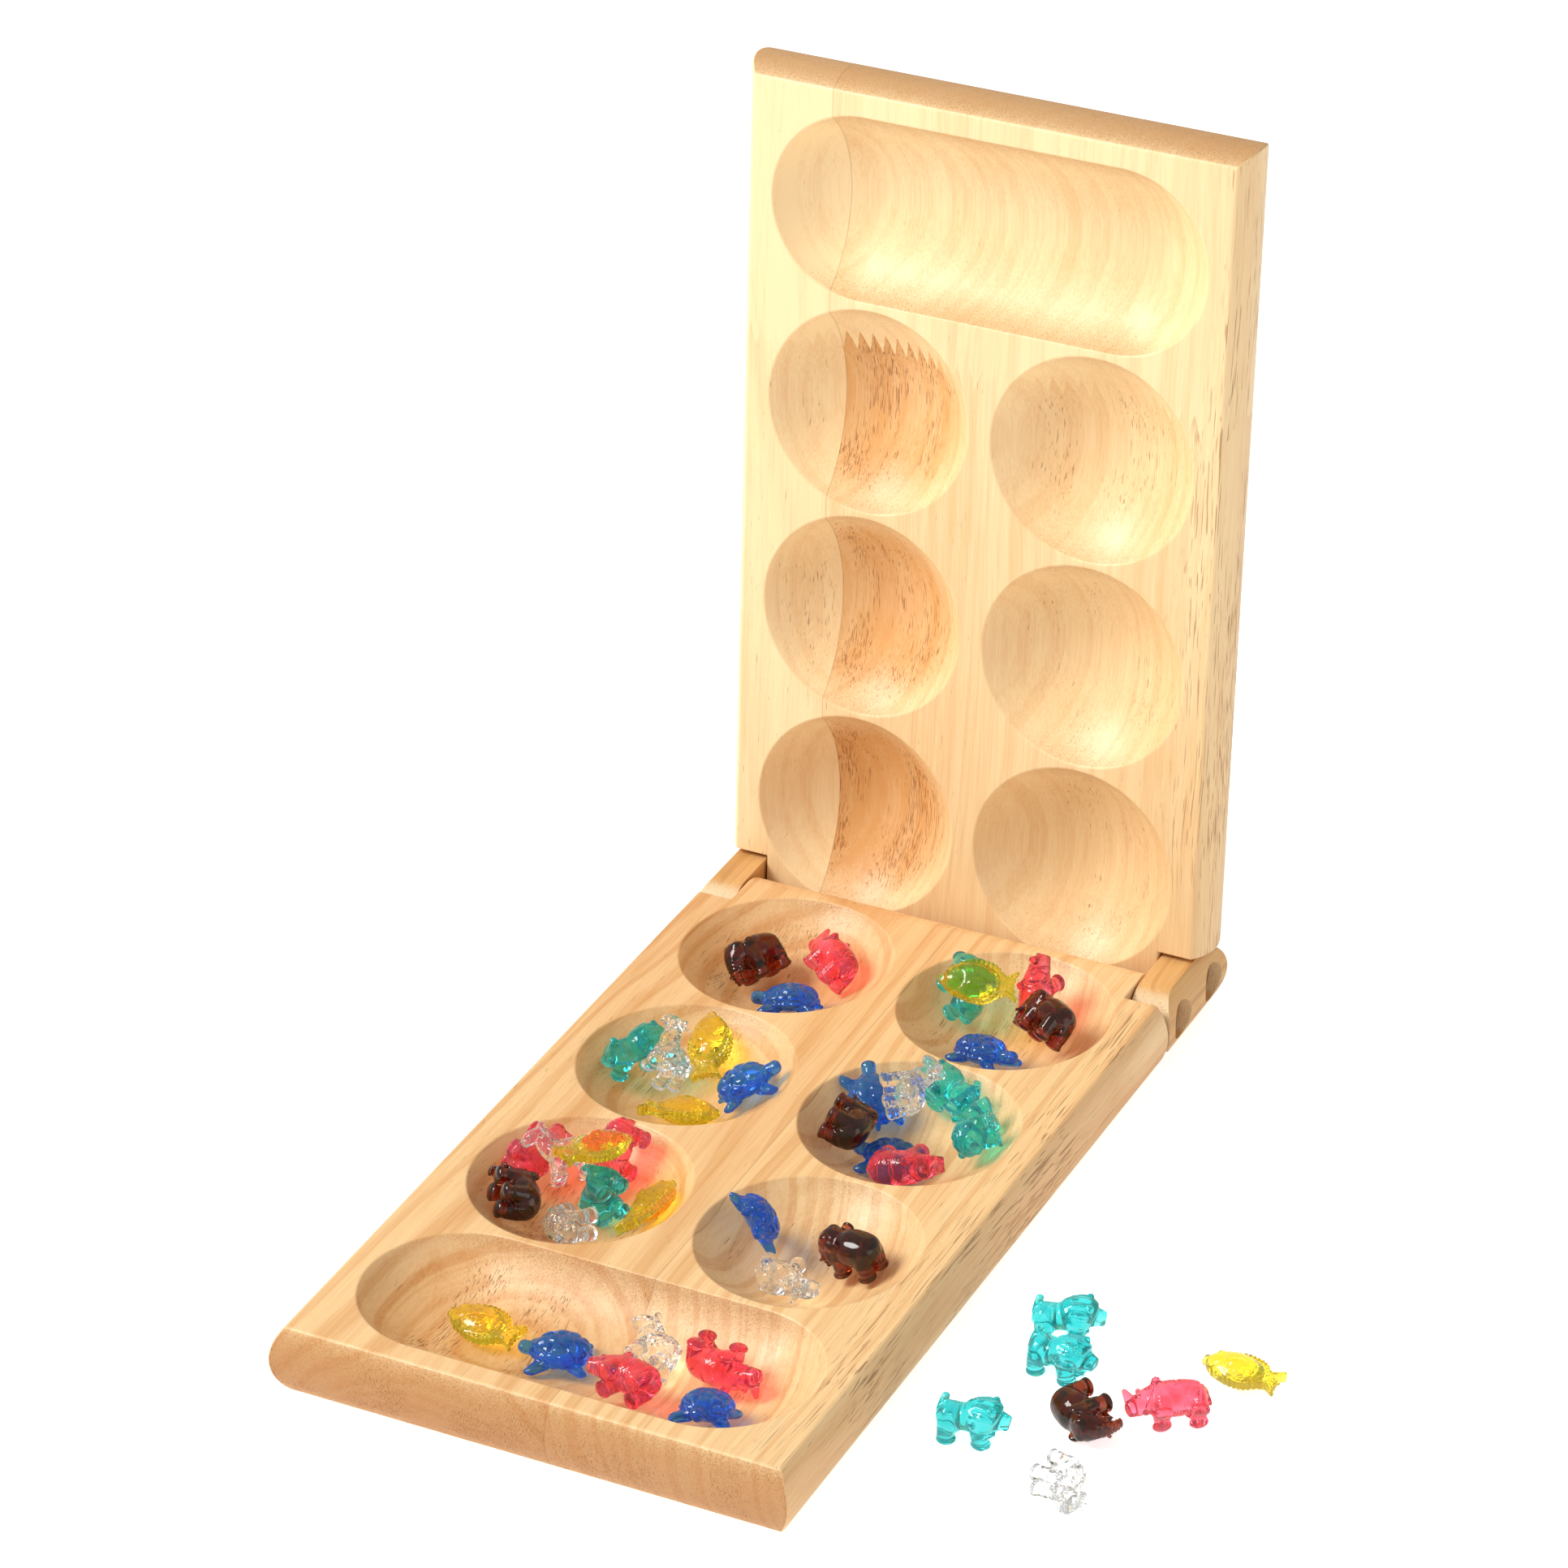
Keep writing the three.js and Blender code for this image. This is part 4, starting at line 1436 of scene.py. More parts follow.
    def plate(self, outline: list[Point2], half: float) -> None:
        """Lay in a flat plate across Y.

        Args:
            outline: its corners forward and up, in shares, which are rounded off.
            half: half its thickness, as a share of the width.
        """
        rounded = rounded_outline(outline, self.PLATE_ROUNDS)
        rows = []
        for y in (-half * self.size.y, half * self.size.y):
            row = []
            for forward, up in rounded:
                row.append(self.work.verts.new((forward * self.size.x, y, up * self.size.z)))
            rows.append(row)
        self.work.faces.new(rows[0])
        self.work.faces.new(list(reversed(rows[1])))
        for i, start in enumerate(rows[0]):
            after = (i + 1) % len(rounded)
            self.work.faces.new((start, rows[1][i], rows[1][after], rows[0][after]))

    def melt(self, name: str, voxel: float, rounds: int) -> Piece:
        """Melt the forms into one skin.

        Args:
            name: name of the object.
            voxel: the finest detail kept, in millimetres.
            rounds: how often the skin is smoothed.

        Returns:
            The object.
        """
        bmesh.ops.recalc_face_normals(self.work, faces=self.work.faces)
        mesh = bpy.data.meshes.new(name)
        self.work.to_mesh(mesh)
        self.work.free()
        piece = bpy.data.objects.new(name, mesh)
        bpy.context.scene.collection.objects.link(piece)
        skin = piece.modifiers.new("skin", "REMESH")
        skin.mode = "VOXEL"
        skin.voxel_size = voxel
        skin.use_smooth_shade = True
        calm = piece.modifiers.new("calm", "SMOOTH")
        calm.factor = self.CALMING
        calm.iterations = rounds
        apply_modifiers(piece)
        return piece


def smooth_rows(rows: list[tuple], steps: int) -> list[tuple]:
    """Rows of numbers with smooth ones put between them.

    Args:
        rows: the rows.
        steps: how many steps go from one row to the next.

    Returns:
        The rows with the new ones among them.
    """
    table = [np.array(row, float) for row in rows]
    made = []
    for i in range(len(table) - 1):
        before, start = table[max(i - 1, 0)], table[i]
        end, after = table[i + 1], table[min(i + 2, len(table) - 1)]
        for step in range(steps):
            t = step / steps
            bend = 2 * start + (end - before) * t
            bend = bend + (2 * before - 5 * start + 4 * end - after) * t**2
            bend = bend + (3 * start - before - 3 * end + after) * t**3
            made.append(tuple(bend / 2))
    made.append(tuple(table[-1]))
    return made


def rounded_outline(outline: list[Point2], rounds: int, cut: float = 0.22) -> list[Point2]:
    """A closed outline with its corners cut off again and again until they are round.

    Args:
        outline: its corners.
        rounds: how often they are cut.
        cut: the share of each side that a cut takes at either end.

    Returns:
        The new corners.
    """
    points = [np.array(point, float) for point in outline]
    for _ in range(rounds):
        made = []
        for i, point in enumerate(points):
            after = points[(i + 1) % len(points)]
            made += [point * (1 - cut) + after * cut, point * cut + after * (1 - cut)]
        points = made
    return [tuple(point) for point in points]


def groove(distance: np.ndarray, width: float) -> np.ndarray:
    """How deep a groove is, from 0 to 1, at a distance from its middle."""
    return np.exp(-((distance / width) ** 2))


def ripple(values: np.ndarray, pitch: float) -> np.ndarray:
    """A wave from -1 to 1 whose crests are a pitch apart."""
    return np.cos(2 * np.pi * values / pitch)


def cell_edges(points: np.ndarray, seeds: np.ndarray) -> np.ndarray:
    """Distance of points from the edges between the cells round some seeds.

    Args:
        points: the points, one to a row.
        seeds: the middles of the cells, one to a row.

    Returns:
        The distance of each point.
    """
    gaps = np.linalg.norm(points[:, None, :] - seeds[None, :, :], axis=2)
    gaps.sort(axis=1)
    return (gaps[:, 1] - gaps[:, 0]) / 2


def window(values: np.ndarray, low: float, high: float, ease: float) -> np.ndarray:
    """A mask that is 1 between two limits and falls to 0 over a short way outside them.

    Args:
        values: what is measured.
        low: the lower limit.
        high: the upper limit.
        ease: how far outside them it reaches 0.

    Returns:
        The mask.
    """
    up = np.clip((values - low) / ease + 1, 0, 1)
    down = np.clip((high - values) / ease + 1, 0, 1)
    return up * down


@dataclass
class Animal:
    """A playing piece: head towards +X, with its middle at the origin.

    Its forms are given in shares of its size, and its relief in millimetres.
    """

    name: str
    size: Share3
    finish: PlasticFinish
    voxel: float = 0.27
    rounds: int = 6
    _mesh: bpy.types.Mesh | None = field(default=None, repr=False)

    def shape(self, clay: Clay) -> None:
        """Lay in the forms of the animal."""
        raise NotImplementedError

    def relief(self, at: np.ndarray) -> np.ndarray:
        """How far each point of the skin stands out, in millimetres, by its place in shares."""
        return np.zeros(len(at))

    def mesh(self, low: Vector, high: Vector, ease: float) -> bpy.types.Mesh:
        """The animal's mesh in metres, made once and fitted to the room that its solid has.

        Args:
            low: lowest corner of the solid in its own frame, in millimetres.
            high: highest corner.
            ease: how much smaller the mesh is, all round.

        Returns:
            The mesh that all pieces of this kind share.
        """
        if self._mesh is not None:
            return self._mesh
        clay = Clay(self.size)
        self.shape(clay)
        piece = clay.melt(self.name, self.voxel, self.rounds)
        mesh = piece.data
        count = len(mesh.vertices)
        places = np.empty(count * 3, np.float32)
        mesh.vertices.foreach_get("co", places)
        places = places.reshape(-1, 3).astype(float)
        normals = np.array([tuple(vertex.normal) for vertex in mesh.vertices])
        places += normals * self.relief(places / np.array(self.size))[:, None]
        now_low, now_high = places.min(0), places.max(0)
        want_low, want_high = np.array(low) + ease, np.array(high) - ease
        places = (places - now_low) / (now_high - now_low) * (want_high - want_low) + want_low
        mesh.vertices.foreach_set("co", (places * MM).astype(np.float32).ravel())
        mesh.update()
        for face in mesh.polygons:
            face.use_smooth = True
        mesh["in_metres"] = True
        mesh.materials.append(self.finish.material())
        bpy.data.objects.remove(piece)
        self._mesh = mesh
        return mesh


class Elephant(Animal):
    """An elephant with its trunk hanging down and its ears spread."""

    def shape(self, clay: Clay) -> None:
        """Lay in body, head, trunk, ears, tusks, legs and tail."""
        clay.trunk([
            (-0.5, 0.1, 0.16, 0.14), (-0.38, 0.1, 0.42, 0.32), (-0.1, 0.1, 0.5, 0.4),
            (0.1, 0.12, 0.38, 0.33), (0.26, 0.18, 0.38, 0.32), (0.4, 0.02, 0.24, 0.17),
            (0.45, -0.24, 0.15, 0.11), (0.42, -0.44, 0.13, 0.08),
        ])
        clay.balls((0.26, 0.16, 0.36), (0.1, 0.16, 0.11))
        clay.balls((0.13, 0.39, 0.14), (0.1, 0.08, 0.3), 12.0)
        clay.balls((0.11, 0.4, 0.3), (0.1, 0.08, 0.14))
        clay.limbs((0.33, 0.2, -0.02), (0.44, 0.26, -0.2), 0.07, 0.05)
        clay.balls((0.335, 0.28, 0.24), (0.026, 0.06, 0.042))
        clay.leg((0.08, 0.24, 0.0), (0.1, 0.25, -0.5), 0.23)
        clay.leg((-0.32, 0.24, 0.0), (-0.33, 0.25, -0.5), 0.23)
        clay.limb((-0.47, 0.0, 0.22), (-0.49, 0.0, -0.14), 0.06, 0.08)

    def relief(self, at: np.ndarray) -> np.ndarray:
        """Rings round the trunk, a hollow inside each ear and creases at the knees."""
        x, y, z = at.T
        trunk = window(x, 0.36, 0.6, 0.04) * window(z, -0.6, 0.02, 0.08)
        rings = 0.12 * ripple(z, 0.085) * trunk
        ear = np.hypot((x - 0.14) / 0.07, (z - 0.14) / 0.19)
        hollow = -0.3 * groove(ear, 0.75) * (np.abs(y) > 0.42)
        knees = -0.14 * groove(z + 0.3, 0.03) * (x < 0.3)
        return rings + hollow + knees


class Giraffe(Animal):
    """A giraffe with its neck held up."""

    PATCH_LENGTH = 0.17
    PATCH_HEIGHT = 0.12

    def shape(self, clay: Clay) -> None:
        """Lay in body, neck, head, horns, ears, mane, legs and tail."""
        clay.trunk([
            (-0.48, 0.0, 0.16, 0.1), (-0.34, -0.02, 0.46, 0.22), (-0.06, -0.02, 0.5, 0.24),
            (0.14, 0.1, 0.34, 0.17), (0.22, 0.34, 0.28, 0.13), (0.36, 0.34, 0.3, 0.12),
            (0.5, 0.26, 0.2, 0.08),
        ])
        clay.limbs((0.2, 0.12, 0.36), (0.17, 0.17, 0.47), 0.1, 0.13)
        clay.balls((0.13, 0.34, 0.38), (0.05, 0.14, 0.03))
        clay.balls((0.34, 0.25, 0.37), (0.03, 0.07, 0.032))
        clay.limb((0.08, 0.0, 0.36), (-0.1, 0.0, 0.14), 0.1, 0.1)
        clay.leg((0.06, 0.24, -0.06), (0.1, 0.25, -0.5), 0.23)
        clay.leg((-0.34, 0.24, -0.06), (-0.35, 0.25, -0.5), 0.23)
        clay.limb((-0.46, 0.0, 0.06), (-0.48, 0.0, -0.2), 0.07, 0.1)

    def relief(self, at: np.ndarray) -> np.ndarray:
        """Coat patches parted by grooves, and notches in the mane."""
        x, y, z = at.T
        seeds = []
        for i in range(-5, 5):
            for j in range(-5, 7):
                along = (i + (j % 2) / 2) * self.PATCH_LENGTH
                seeds.append((along, j * self.PATCH_HEIGHT))
        edges = cell_edges(np.column_stack((x, z)), np.array(seeds))
        patches = -0.26 * groove(edges, 0.018) * (np.abs(y) > 0.1) * (z > -0.3)
        mane = -0.2 * ripple(z, 0.05) * groove(y, 0.08) * window(x, -0.12, 0.1, 0.02)
        return patches + mane * (z > 0.12)


class Lion(Animal):
    """A lion with a full mane combed back in strands."""

    def shape(self, clay: Clay) -> None:
        """Lay in body, mane, face, ears, legs and tail."""
        clay.trunk([
            (-0.5, 0.06, 0.14, 0.12), (-0.38, 0.04, 0.38, 0.3), (-0.12, 0.04, 0.38, 0.3),
            (0.04, 0.1, 0.48, 0.39), (0.24, 0.14, 0.46, 0.38), (0.34, 0.08, 0.3, 0.24),
            (0.5, 0.04, 0.2, 0.14),
        ])
        clay.ball((0.16, 0.0, 0.14), (0.19, 0.5, 0.37), -10.0)
        clay.balls((0.28, 0.26, 0.4), (0.05, 0.12, 0.08))
        clay.balls((0.41, 0.15, 0.15), (0.025, 0.055, 0.035))
        clay.ball((0.47, 0.0, 0.08), (0.035, 0.12, 0.04))
        clay.balls((0.45, 0.1, -0.02), (0.05, 0.1, 0.06))
        clay.leg((0.1, 0.24, -0.06), (0.12, 0.25, -0.5), 0.23)
        clay.leg((-0.34, 0.22, -0.06), (-0.35, 0.25, -0.5), 0.23)
        clay.balls((-0.3, 0.26, -0.08), (0.13, 0.2, 0.22))
        clay.limb((-0.47, 0.0, 0.16), (-0.44, 0.12, 0.34), 0.07, 0.06)
        clay.ball((-0.4, 0.16, 0.38), (0.06, 0.12, 0.07))

    def relief(self, at: np.ndarray) -> np.ndarray:
        """Strands of the mane, and toes."""
        x, y, z = at.T
        round_head = np.arctan2(y * 0.9, z - 0.1)
        strands = 0.16 * np.cos(11 * round_head + 5.0 * (x - 0.2))
        mane = strands * window(x, 0.04, 0.25, 0.05) * (z > -0.12)
        toes = -0.2 * ripple(y, 0.13) * window(z, -0.6, -0.42, 0.03)
        return mane + toes * groove(x - 0.2, 0.1)


class Rhino(Animal):
    """A rhino with two horns and plated hide."""

    def shape(self, clay: Clay) -> None:
        """Lay in body, head, horns, ears, legs and tail."""
        clay.trunk([
            (-0.5, 0.1, 0.16, 0.14), (-0.38, 0.1, 0.44, 0.34), (-0.1, 0.1, 0.5, 0.42),
            (0.14, 0.1, 0.42, 0.36), (0.34, 0.0, 0.3, 0.25), (0.48, -0.1, 0.22, 0.16),
        ])
        clay.limb((0.4, 0.0, 0.02), (0.47, 0.0, 0.38), 0.22, 0.08)
        clay.limb((0.29, 0.0, 0.16), (0.31, 0.0, 0.36), 0.16, 0.08)
        clay.limbs((0.13, 0.22, 0.3), (0.1, 0.27, 0.44), 0.13, 0.12)
        clay.balls((0.33, 0.27, 0.1), (0.026, 0.06, 0.042))
        clay.leg((0.06, 0.25, 0.0), (0.08, 0.26, -0.5), 0.24)
        clay.leg((-0.35, 0.25, 0.0), (-0.36, 0.26, -0.5), 0.24)
        clay.balls((-0.3, 0.3, 0.02), (0.13, 0.18, 0.3))
        clay.balls((0.05, 0.3, 0.02), (0.11, 0.18, 0.3))
        clay.limb((-0.49, 0.0, 0.2), (-0.5, 0.0, -0.12), 0.06, 0.07)

    def relief(self, at: np.ndarray) -> np.ndarray:
        """Folds between the plates of the hide, and rivets on its rump and shoulder."""
        x, y, z = at.T
        folds = groove(x + 0.18 - 0.1 * z, 0.014) + groove(x - 0.18 + 0.2 * z, 0.014)
        folds += groove(x + 0.4 + 0.1 * z, 0.012) + groove(x - 0.25 + 0.25 * z, 0.012)
        rivets = ripple(x, 0.05) * ripple(z, 0.09)
        plates = window(x, -0.38, 0.14, 0.02) * (z > -0.3)
        return -0.3 * folds * (z > -0.34) + 0.07 * rivets * plates


class Turtle(Animal):
    """A turtle with a plated shell and its flippers out."""

    def shape(self, clay: Clay) -> None:
        """Lay in shell, rim, head, flippers and tail."""
        clay.ball((-0.06, 0.0, 0.02), (0.37, 0.41, 0.46))
        clay.ball((-0.06, 0.0, -0.12), (0.4, 0.44, 0.16))
        clay.limb((0.2, 0.0, -0.1), (0.4, 0.0, 0.02), 0.1, 0.12)
        clay.ball((0.42, 0.0, 0.04), (0.085, 0.13, 0.2))
        clay.balls((0.45, 0.09, 0.12), (0.022, 0.024, 0.05))
        clay.limbs((0.14, 0.24, -0.24), (0.28, 0.4, -0.28), 0.11, 0.09)
        clay.balls((0.3, 0.42, -0.3), (0.09, 0.07, 0.12))
        clay.limbs((-0.22, 0.24, -0.24), (-0.33, 0.38, -0.3), 0.11, 0.08)
        clay.balls((-0.35, 0.4, -0.31), (0.08, 0.07, 0.11))
        clay.limb((-0.3, 0.0, -0.2), (-0.47, 0.0, -0.3), 0.08, 0.04)

    def relief(self, at: np.ndarray) -> np.ndarray:
        """Plates of the shell, each a little domed, and notches round its rim."""
        x, y, z = at.T
        seeds = [(-0.32, 0.0), (-0.14, 0.0), (0.03, 0.0), (0.2, 0.0)]
        for side in (-1, 1):
            seeds += [(-0.24, side * 0.21), (-0.05, side * 0.24), (0.13, side * 0.2)]
            seeds += [(-0.36, side * 0.2), (-0.15, side * 0.42), (0.06, side * 0.42)]
            seeds += [(0.25, side * 0.3)]
        flat = np.column_stack((x, y))
        edges = cell_edges(flat, np.array(seeds))
        shell = window(z, 0.02, 1.0, 0.05) * window(x, -0.5, 0.34, 0.02)
        plates = (0.2 * np.clip(edges / 0.06, 0, 1) - 0.3 * groove(edges, 0.016)) * shell
        round_rim = np.arctan2(y, x + 0.06)
        rim = window(z, -0.16, -0.04, 0.04) * (np.hypot(x + 0.06, y) > 0.36)
        return plates + 0.14 * np.cos(18 * round_rim) * rim


class Fish(Animal):
    """A deep-bodied fish with rayed fins and a forked tail."""

    SCALE_LENGTH = 0.075
    SCALE_HEIGHT = 0.13

    def shape(self, clay: Clay) -> None:
        """Lay in body, fins, lips, eyes and side fins."""
        clay.plate([
            (0.44, 0.1), (0.14, 0.5), (-0.2, 0.44), (-0.32, 0.16), (-0.5, 0.38), (-0.42, 0.0),
            (-0.5, -0.38), (-0.32, -0.16), (-0.12, -0.46), (0.14, -0.42), (0.44, -0.12),
        ], 0.17)
        clay.ball((0.08, 0.0, 0.0), (0.37, 0.48, 0.4))
        clay.ball((-0.24, 0.0, 0.0), (0.16, 0.2, 0.16))
        clay.ball((0.44, 0.0, 0.045), (0.06, 0.18, 0.055))
        clay.ball((0.44, 0.0, -0.06), (0.055, 0.16, 0.05))
        clay.balls((0.29, 0.33, 0.1), (0.045, 0.1, 0.075))
        clay.balls((0.04, 0.46, -0.08), (0.1, 0.07, 0.09), -20.0)

    def relief(self, at: np.ndarray) -> np.ndarray:
        """Overlapping scales, rays of the fins and tail, and the edge of the gill."""
        x, y, z = at.T
        row = np.round(x / self.SCALE_LENGTH)
        shift = np.where(row % 2 == 0, 0.0, 0.5)
        step = z / self.SCALE_HEIGHT - shift
        off = np.hypot(x / self.SCALE_LENGTH - row, step - np.round(step))
        body = np.hypot((x - 0.06) / 0.36, z / 0.4)
        scales = 0.2 * (0.5 - off) * (body < 0.94) * (x < 0.17) * (np.abs(y) > 0.16)
        fan = np.arctan2(z, x + 0.2)
        tail = 0.17 * np.cos(16 * fan) * (x < -0.33)
        fins = 0.16 * ripple(x + 0.2 * np.abs(z), 0.06) * (body >= 0.99)
        fins = fins * window(x, -0.3, 0.3, 0.03)
        gill = -0.28 * groove(np.hypot((x - 0.34) / 1.0, z / 1.6) - 0.16, 0.014) * (x < 0.34)
        return scales + tail + fins + gill * (np.abs(y) > 0.16)


CLEAR_PLASTICS = {
    "elephant": PlasticFinish(
        "elephant_plastic", tint=(0.44, 0.15, 0.06), thin_tint=(0.76, 0.32, 0.1),
        depth_colour=(0.66, 0.15, 0.03), density=600.0, shadow=(0.4, 0.26, 0.2), clearness=0.97,
    ),
    "giraffe": PlasticFinish(
        "giraffe_plastic", tint=(0.97, 0.98, 0.98), thin_tint=(1.0, 1.0, 1.0),
        depth_colour=(0.93, 0.97, 0.98), density=60.0, shadow=(0.82, 0.82, 0.82), clearness=0.97,
    ),
    "lion": PlasticFinish(
        "lion_plastic", tint=(0.08, 0.8, 0.8), thin_tint=(0.34, 0.97, 1.0),
        depth_colour=(0.02, 0.86, 0.87), density=165.0, shadow=(0.52, 0.62, 0.6), clearness=0.93,
    ),
    "rhino": PlasticFinish(
        "rhino_plastic", tint=(1.0, 0.16, 0.2), thin_tint=(1.0, 0.44, 0.66),
        depth_colour=(1.0, 0.16, 0.3), density=125.0, shadow=(0.66, 0.56, 0.55), clearness=0.92,
    ),
    "turtle": PlasticFinish(
        "turtle_plastic", tint=(0.02, 0.3, 0.95), thin_tint=(0.16, 0.56, 1.0),
        depth_colour=(0.02, 0.46, 0.98), density=150.0, shadow=(0.48, 0.53, 0.62), clearness=0.91,
    ),
    "fish": PlasticFinish(
        "fish_plastic", tint=(0.96, 0.84, 0.06), thin_tint=(1.0, 0.96, 0.26),
        depth_colour=(0.97, 0.9, 0.04), density=170.0, shadow=(0.7, 0.66, 0.55), clearness=0.94,
    ),
}

ANIMALS: dict[str, Animal] = {
    "elephant": Elephant("elephant", (17.0, 9.0, 11.5), CLEAR_PLASTICS["elephant"]),
    "giraffe": Giraffe("giraffe", (15.0, 8.0, 14.4), CLEAR_PLASTICS["giraffe"]),
    "lion": Lion("lion", (16.5, 9.0, 11.5), CLEAR_PLASTICS["lion"]),
    "rhino": Rhino("rhino", (19.0, 8.5, 10.5), CLEAR_PLASTICS["rhino"]),
    "turtle": Turtle("turtle", (17.0, 14.0, 7.5), CLEAR_PLASTICS["turtle"]),
    "fish": Fish("fish", (19.0, 7.5, 11.5), CLEAR_PLASTICS["fish"]),
}


@dataclass(frozen=True)
class Lie:
    """How a piece lies in its heap, as the heap was laid out.

    Its place is across and along from its well's centre in shares of a pit's radius. Its heading
    from +X, the tip of its nose and its roll are in degrees.
    """

    animal: str
    across: float
    along: float
    heading: float
    tip: float
    roll: float

    def turn(self, well: Well | None, sizes: BoardSizes) -> Quaternion:
        """The piece's turn: roll, tip and heading, then a lean to the wall of its well.

        Args:
            well: the well, or None on the table.
            sizes: the board's sizes.

        Returns:
            The turn from the animal's own frame to the model's.
        """
        turn = Quaternion((0.0, 0.0, 1.0), math.radians(self.heading))
        turn = turn @ Quaternion((0.0, -1.0, 0.0), math.radians(self.tip))
        turn = turn @ Quaternion((1.0, 0.0, 0.0), math.radians(self.roll))
        if well is None:
            return turn
        x, y = self.across * sizes.pit_radius, self.along * sizes.pit_radius
        out = math.copysign(max(abs(x) - well.run / 2, 0.0), x)
        ball = well.ball(sizes.pit_depth)
        wall = Vector((-out, -y, math.sqrt(ball**2 - out**2 - y**2)))
        return Vector((0.0, 0.0, 1.0)).rotation_difference(wall) @ turn


HEAPS: dict[str, list[Lie]] = {
    "store": [
        Lie("fish", -1.04, 0.02, 172, 0, 84), Lie("turtle", -0.28, -0.06, 200, 0, 0),
        Lie("rhino", 0.5, -0.34, 166, 0, 78), Lie("giraffe", 0.46, 0.3, 176, 0, 96),
        Lie("rhino", 1.16, 0.22, -8, 0, 160), Lie("turtle", 1.3, -0.36, -80, 0, 0),
    ],
    "front_left": [
        Lie("lion", 0.2, 0, 150, -74, 0), Lie("elephant", -0.46, -0.4, 130, 0, 84),
        Lie("giraffe", 0.14, -0.52, -10, 0, 92), Lie("fish", 0.68, 0, 80, 0, 84),
        Lie("rhino", -0.62, 0.06, 85, 0, 84), Lie("rhino", 0.36, 0.5, -105, -20, 10),
        Lie("giraffe", -0.4, 0.54, 225, 0, 80), Lie("fish", -0.1, -0.1, 60, 0, 84),
    ],
    "front_right": [
        Lie("elephant", 0.32, 0.16, 170, 0, 0), Lie("turtle", -0.56, 0.12, 60, -50, 0),
        Lie("giraffe", -0.02, -0.4, 20, 0, 86),
    ],
    "middle_left": [
        Lie("fish", 0.16, -0.42, 10, 0, 88), Lie("turtle", 0.54, 0.14, 30, 0, 0),
        Lie("lion", -0.5, 0.04, 60, 10, 0), Lie("fish", -0.02, 0.5, 110, 0, 80),
        Lie("giraffe", -0.12, -0.06, 140, 10, 20),
    ],
    "middle_right": [
        Lie("turtle", -0.1, -0.2, 190, 0, 0), Lie("turtle", -0.52, 0.36, 130, 0, 0),
        Lie("lion", 0.56, 0.14, -60, 0, 84), Lie("lion", 0.22, 0.56, 160, 0, 84),
        Lie("rhino", 0.36, -0.5, 0, 0, 96), Lie("elephant", -0.5, -0.24, 100, 0, 90),
        Lie("giraffe", -0.1, 0.3, 120, 0, 80),
    ],
    "back_left": [
        Lie("elephant", -0.34, 0, 250, 0, 60), Lie("rhino", 0.34, 0.26, 140, 0, 70),
        Lie("turtle", 0.24, -0.46, 200, 0, 0),
    ],
    "back_right": [
        Lie("rhino", 0.24, 0.52, 80, 50, 0), Lie("lion", -0.58, 0.3, 130, 0, 20),
        Lie("turtle", 0.02, -0.46, -10, 0, 0), Lie("fish", -0.2, 0.22, 200, 0, 60),
        Lie("elephant", 0.44, -0.04, 150, 10, 60),
    ],
    "loose": [
        Lie("lion", 1.05, -1.2, 20, 0, 0), Lie("lion", 1.25, -2.15, -5, 0, 0),
        Lie("lion", 0.9, -4.25, 10, 0, 0), Lie("elephant", 1.8, -3.35, -30, 0, 88),
        Lie("giraffe", 2.1, -5.05, -100, 0, -88), Lie("rhino", 2.5, -2.6, 215, 0, 70),
        Lie("fish", 2.9, -1.2, 175, 0, 90),
    ],
}


@dataclass
class PieceHeaps:
    """All playing pieces, each where its solid lies, and smaller than it all round by an ease."""

    sizes: BoardSizes
    ease: float = 0.12

    def place(self) -> None:
        """Place the pieces of every heap."""
        wells = wells_of(self.sizes)
        for heap, lies in HEAPS.items():
            counts: dict[str, int] = {}
            for lie in lies:
                counts[lie.animal] = counts.get(lie.animal, 0) + 1
                node = f"{lie.animal}_{heap}_{counts[lie.animal]}"
                self.place_one(node, heap, lie, wells.get(heap))

    def place_one(self, node: str, heap: str, lie: Lie, well: Well | None) -> None:
        """Place one piece over its solid.

        Args:
            node: name of the solid.
            heap: name of the heap.
            lie: how the piece lies.
            well: its well, or None on the table.
        """
        turn = lie.turn(well, self.sizes).to_matrix()
        corners = np.array([tuple(v.co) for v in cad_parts[node].data.vertices]) / MM
        own = corners @ np.array(turn)
        low, high = Vector(own.min(0)), Vector(own.max(0))
        middle, half = (low + high) / 2, (high - low) / 2
        mesh = ANIMALS[lie.animal].mesh(-half, half, self.ease)
        piece = bpy.data.objects.new(f"{node}_clear", mesh)
        bpy.context.scene.collection.objects.link(piece)
        place_piece(piece, Matrix.Translation(turn @ middle) @ turn.to_4x4())
        dress(piece, mesh.materials[0], f"{lie.animal}_plastic", f"pieces_{heap}", node)


# Studio


@dataclass(frozen=True)
class Lamp:
    """A soft square light: its place and width in metres, its power in watts and its colour."""

    name: str
    place: Share3
    power: float
    width: float
    tone: Colour


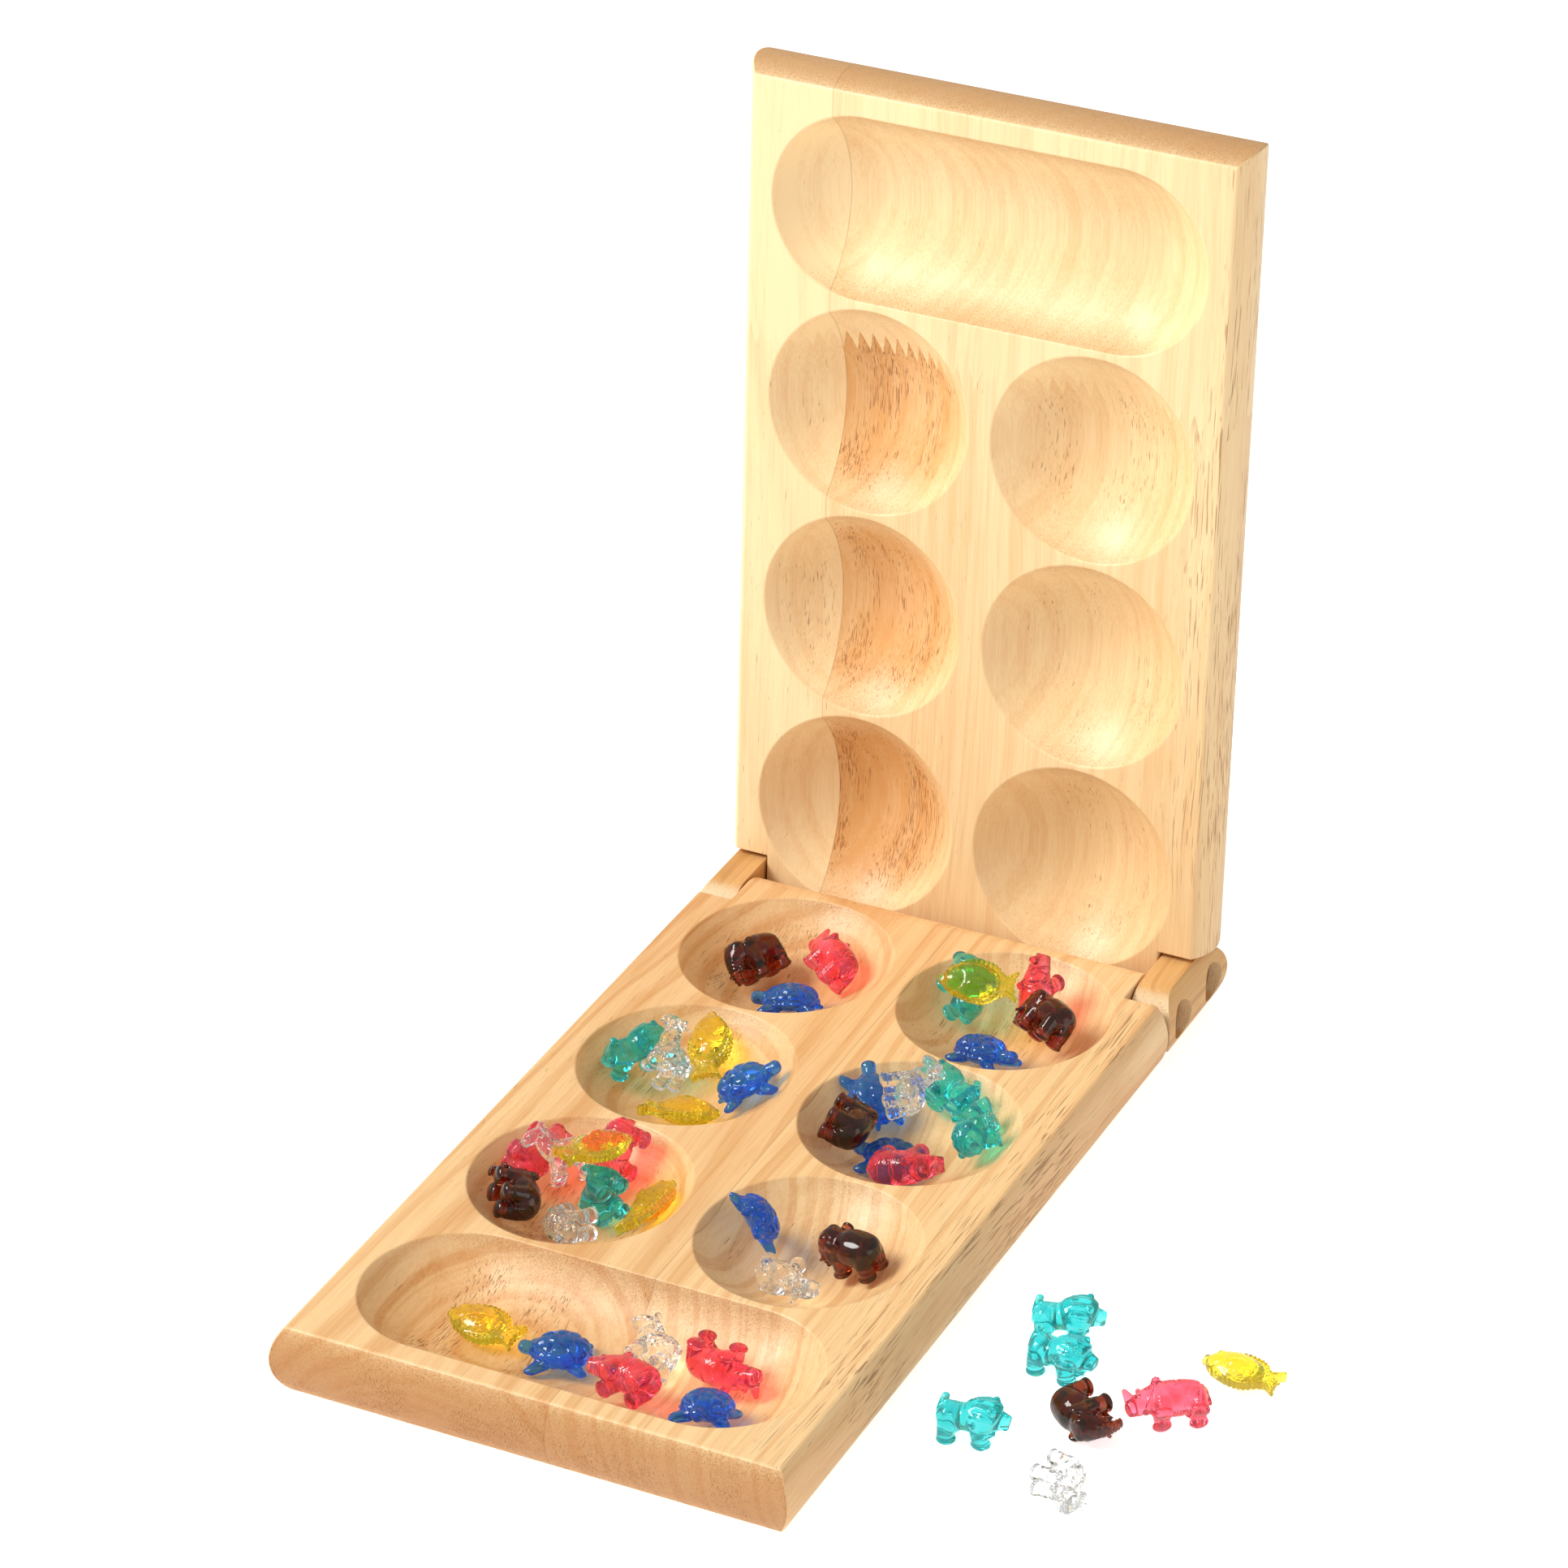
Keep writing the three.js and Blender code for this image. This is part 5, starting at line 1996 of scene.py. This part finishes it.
@dataclass
class Studio:
    """Pale floor, soft lights and the camera, with lengths in metres and angles in degrees."""

    camera_place: Share3 = (0.5432, -1.0696, 0.82)
    azimuth: float = 26.53
    elevation: float = 30.61
    roll: float = -0.66
    lens: float = 147.44
    film_width: float = 36.0
    far_end: float = 20.0
    floor_half: float = 4.0
    paper: tuple[Colour, Colour] = ((0.9, 0.9, 0.9), (0.93, 0.93, 0.93))
    cloud: Pattern = Pattern((1000.0 / 3,) * 3, 2.0)
    glow: float = 0.35
    glow_seen: float = 0.75
    roughness: float = 0.7
    gloss: float = 0.2
    surround: Colour = (1.0, 0.99, 0.97)
    surround_strength: float = 0.46
    aim: Share3 = (0.0, 0.05, 0.06)
    lamps: tuple[Lamp, ...] = (
        Lamp("key", (-1.05, -0.7, 1.35), 31.0, 0.8, (1.0, 0.98, 0.95)),
        Lamp("fill", (1.5, -0.3, 0.35), 4.0, 1.0, (1.0, 0.97, 0.92)),
    )

    def floor(self) -> None:
        """Lay a pale floor under the board."""
        half = self.floor_half / MM
        corners = [(-half, -half, 0.0), (half, -half, 0.0), (half, half, 0.0), (-half, half, 0.0)]
        floor = object_from("studio_floor", corners, [(0, 1, 2, 3)])
        floor.data.transform(Matrix.Scale(MM, 4))
        material, s, shader, _ = new_material("studio_paper")
        spot = s.scaled(s.node("ShaderNodeTexCoord").outputs["Object"], 1 / MM)
        pale = s.blend(s.noise(spot, self.cloud).outputs["Fac"], *self.paper)
        # The paper is lit from below, and looks white to the camera even in the board's shadow
        seen = s.node("ShaderNodeLightPath").outputs["Is Camera Ray"]
        glow = s.blend(seen, s.scaled(pale, self.glow), s.scaled(pale, self.glow_seen))
        s.put(
            shader, Base_Color=pale, Emission_Color=glow, Emission_Strength=1.0,
            Roughness=self.roughness, Specular_IOR_Level=self.gloss,
        )
        floor.data.materials.append(material)

    def light(self, lamp: Lamp) -> None:
        """Hang a soft light that faces the board.

        Args:
            lamp: the light.
        """
        light = bpy.data.lights.new(lamp.name, "AREA")
        light.energy = lamp.power
        light.size = lamp.width
        light.color = lamp.tone
        holder = bpy.data.objects.new(lamp.name, light)
        aim = Vector(self.aim) - Vector(lamp.place)
        holder.rotation_euler = aim.to_track_quat("-Z", "Y").to_euler()
        holder.location = lamp.place
        bpy.context.scene.collection.objects.link(holder)

    def lights(self) -> None:
        """Light the scene: a bright surround, a key from the upper left and a low fill."""
        world = bpy.data.worlds.new("studio_light")
        world.use_nodes = True
        surround = world.node_tree.nodes["Background"]
        Sheet(world.node_tree).put(surround, Color=self.surround, Strength=self.surround_strength)
        bpy.context.scene.world = world
        for lamp in self.lamps:
            self.light(lamp)

    def camera(self) -> None:
        """Set the camera where the photograph was taken from."""
        turn, down = math.radians(self.azimuth), math.radians(self.elevation)
        out = math.cos(down)
        ahead = Vector((-math.sin(turn) * out, math.cos(turn) * out, -math.sin(down)))
        right = Vector((math.cos(turn), math.sin(turn), 0.0))
        right = Quaternion(ahead, -math.radians(self.roll)) @ right
        up = right.cross(ahead)
        lens = bpy.data.cameras.new("camera")
        lens.sensor_width = self.film_width
        lens.lens = self.lens
        lens.clip_end = self.far_end
        camera = bpy.data.objects.new("camera", lens)
        rows = Matrix((right, up, -ahead)).transposed().to_4x4()
        camera.matrix_world = Matrix.Translation(self.camera_place) @ rows
        bpy.context.scene.collection.objects.link(camera)
        bpy.context.scene.camera = camera

    def place(self) -> None:
        """Set up the camera, the lights and the floor."""
        self.camera()
        self.lights()
        self.floor()
        bpy.context.scene.view_settings.view_transform = "Standard"


def main() -> None:
    """Build the scene in order and report each piece."""
    logging.basicConfig(level=logging.INFO, format="%(name)s: %(message)s")
    sizes = BoardSizes()
    Studio().place()
    BoardHalf(sizes).place()
    Hinge(sizes).place()
    PieceHeaps(sizes).place()


if __name__ == "__main__":
    main()
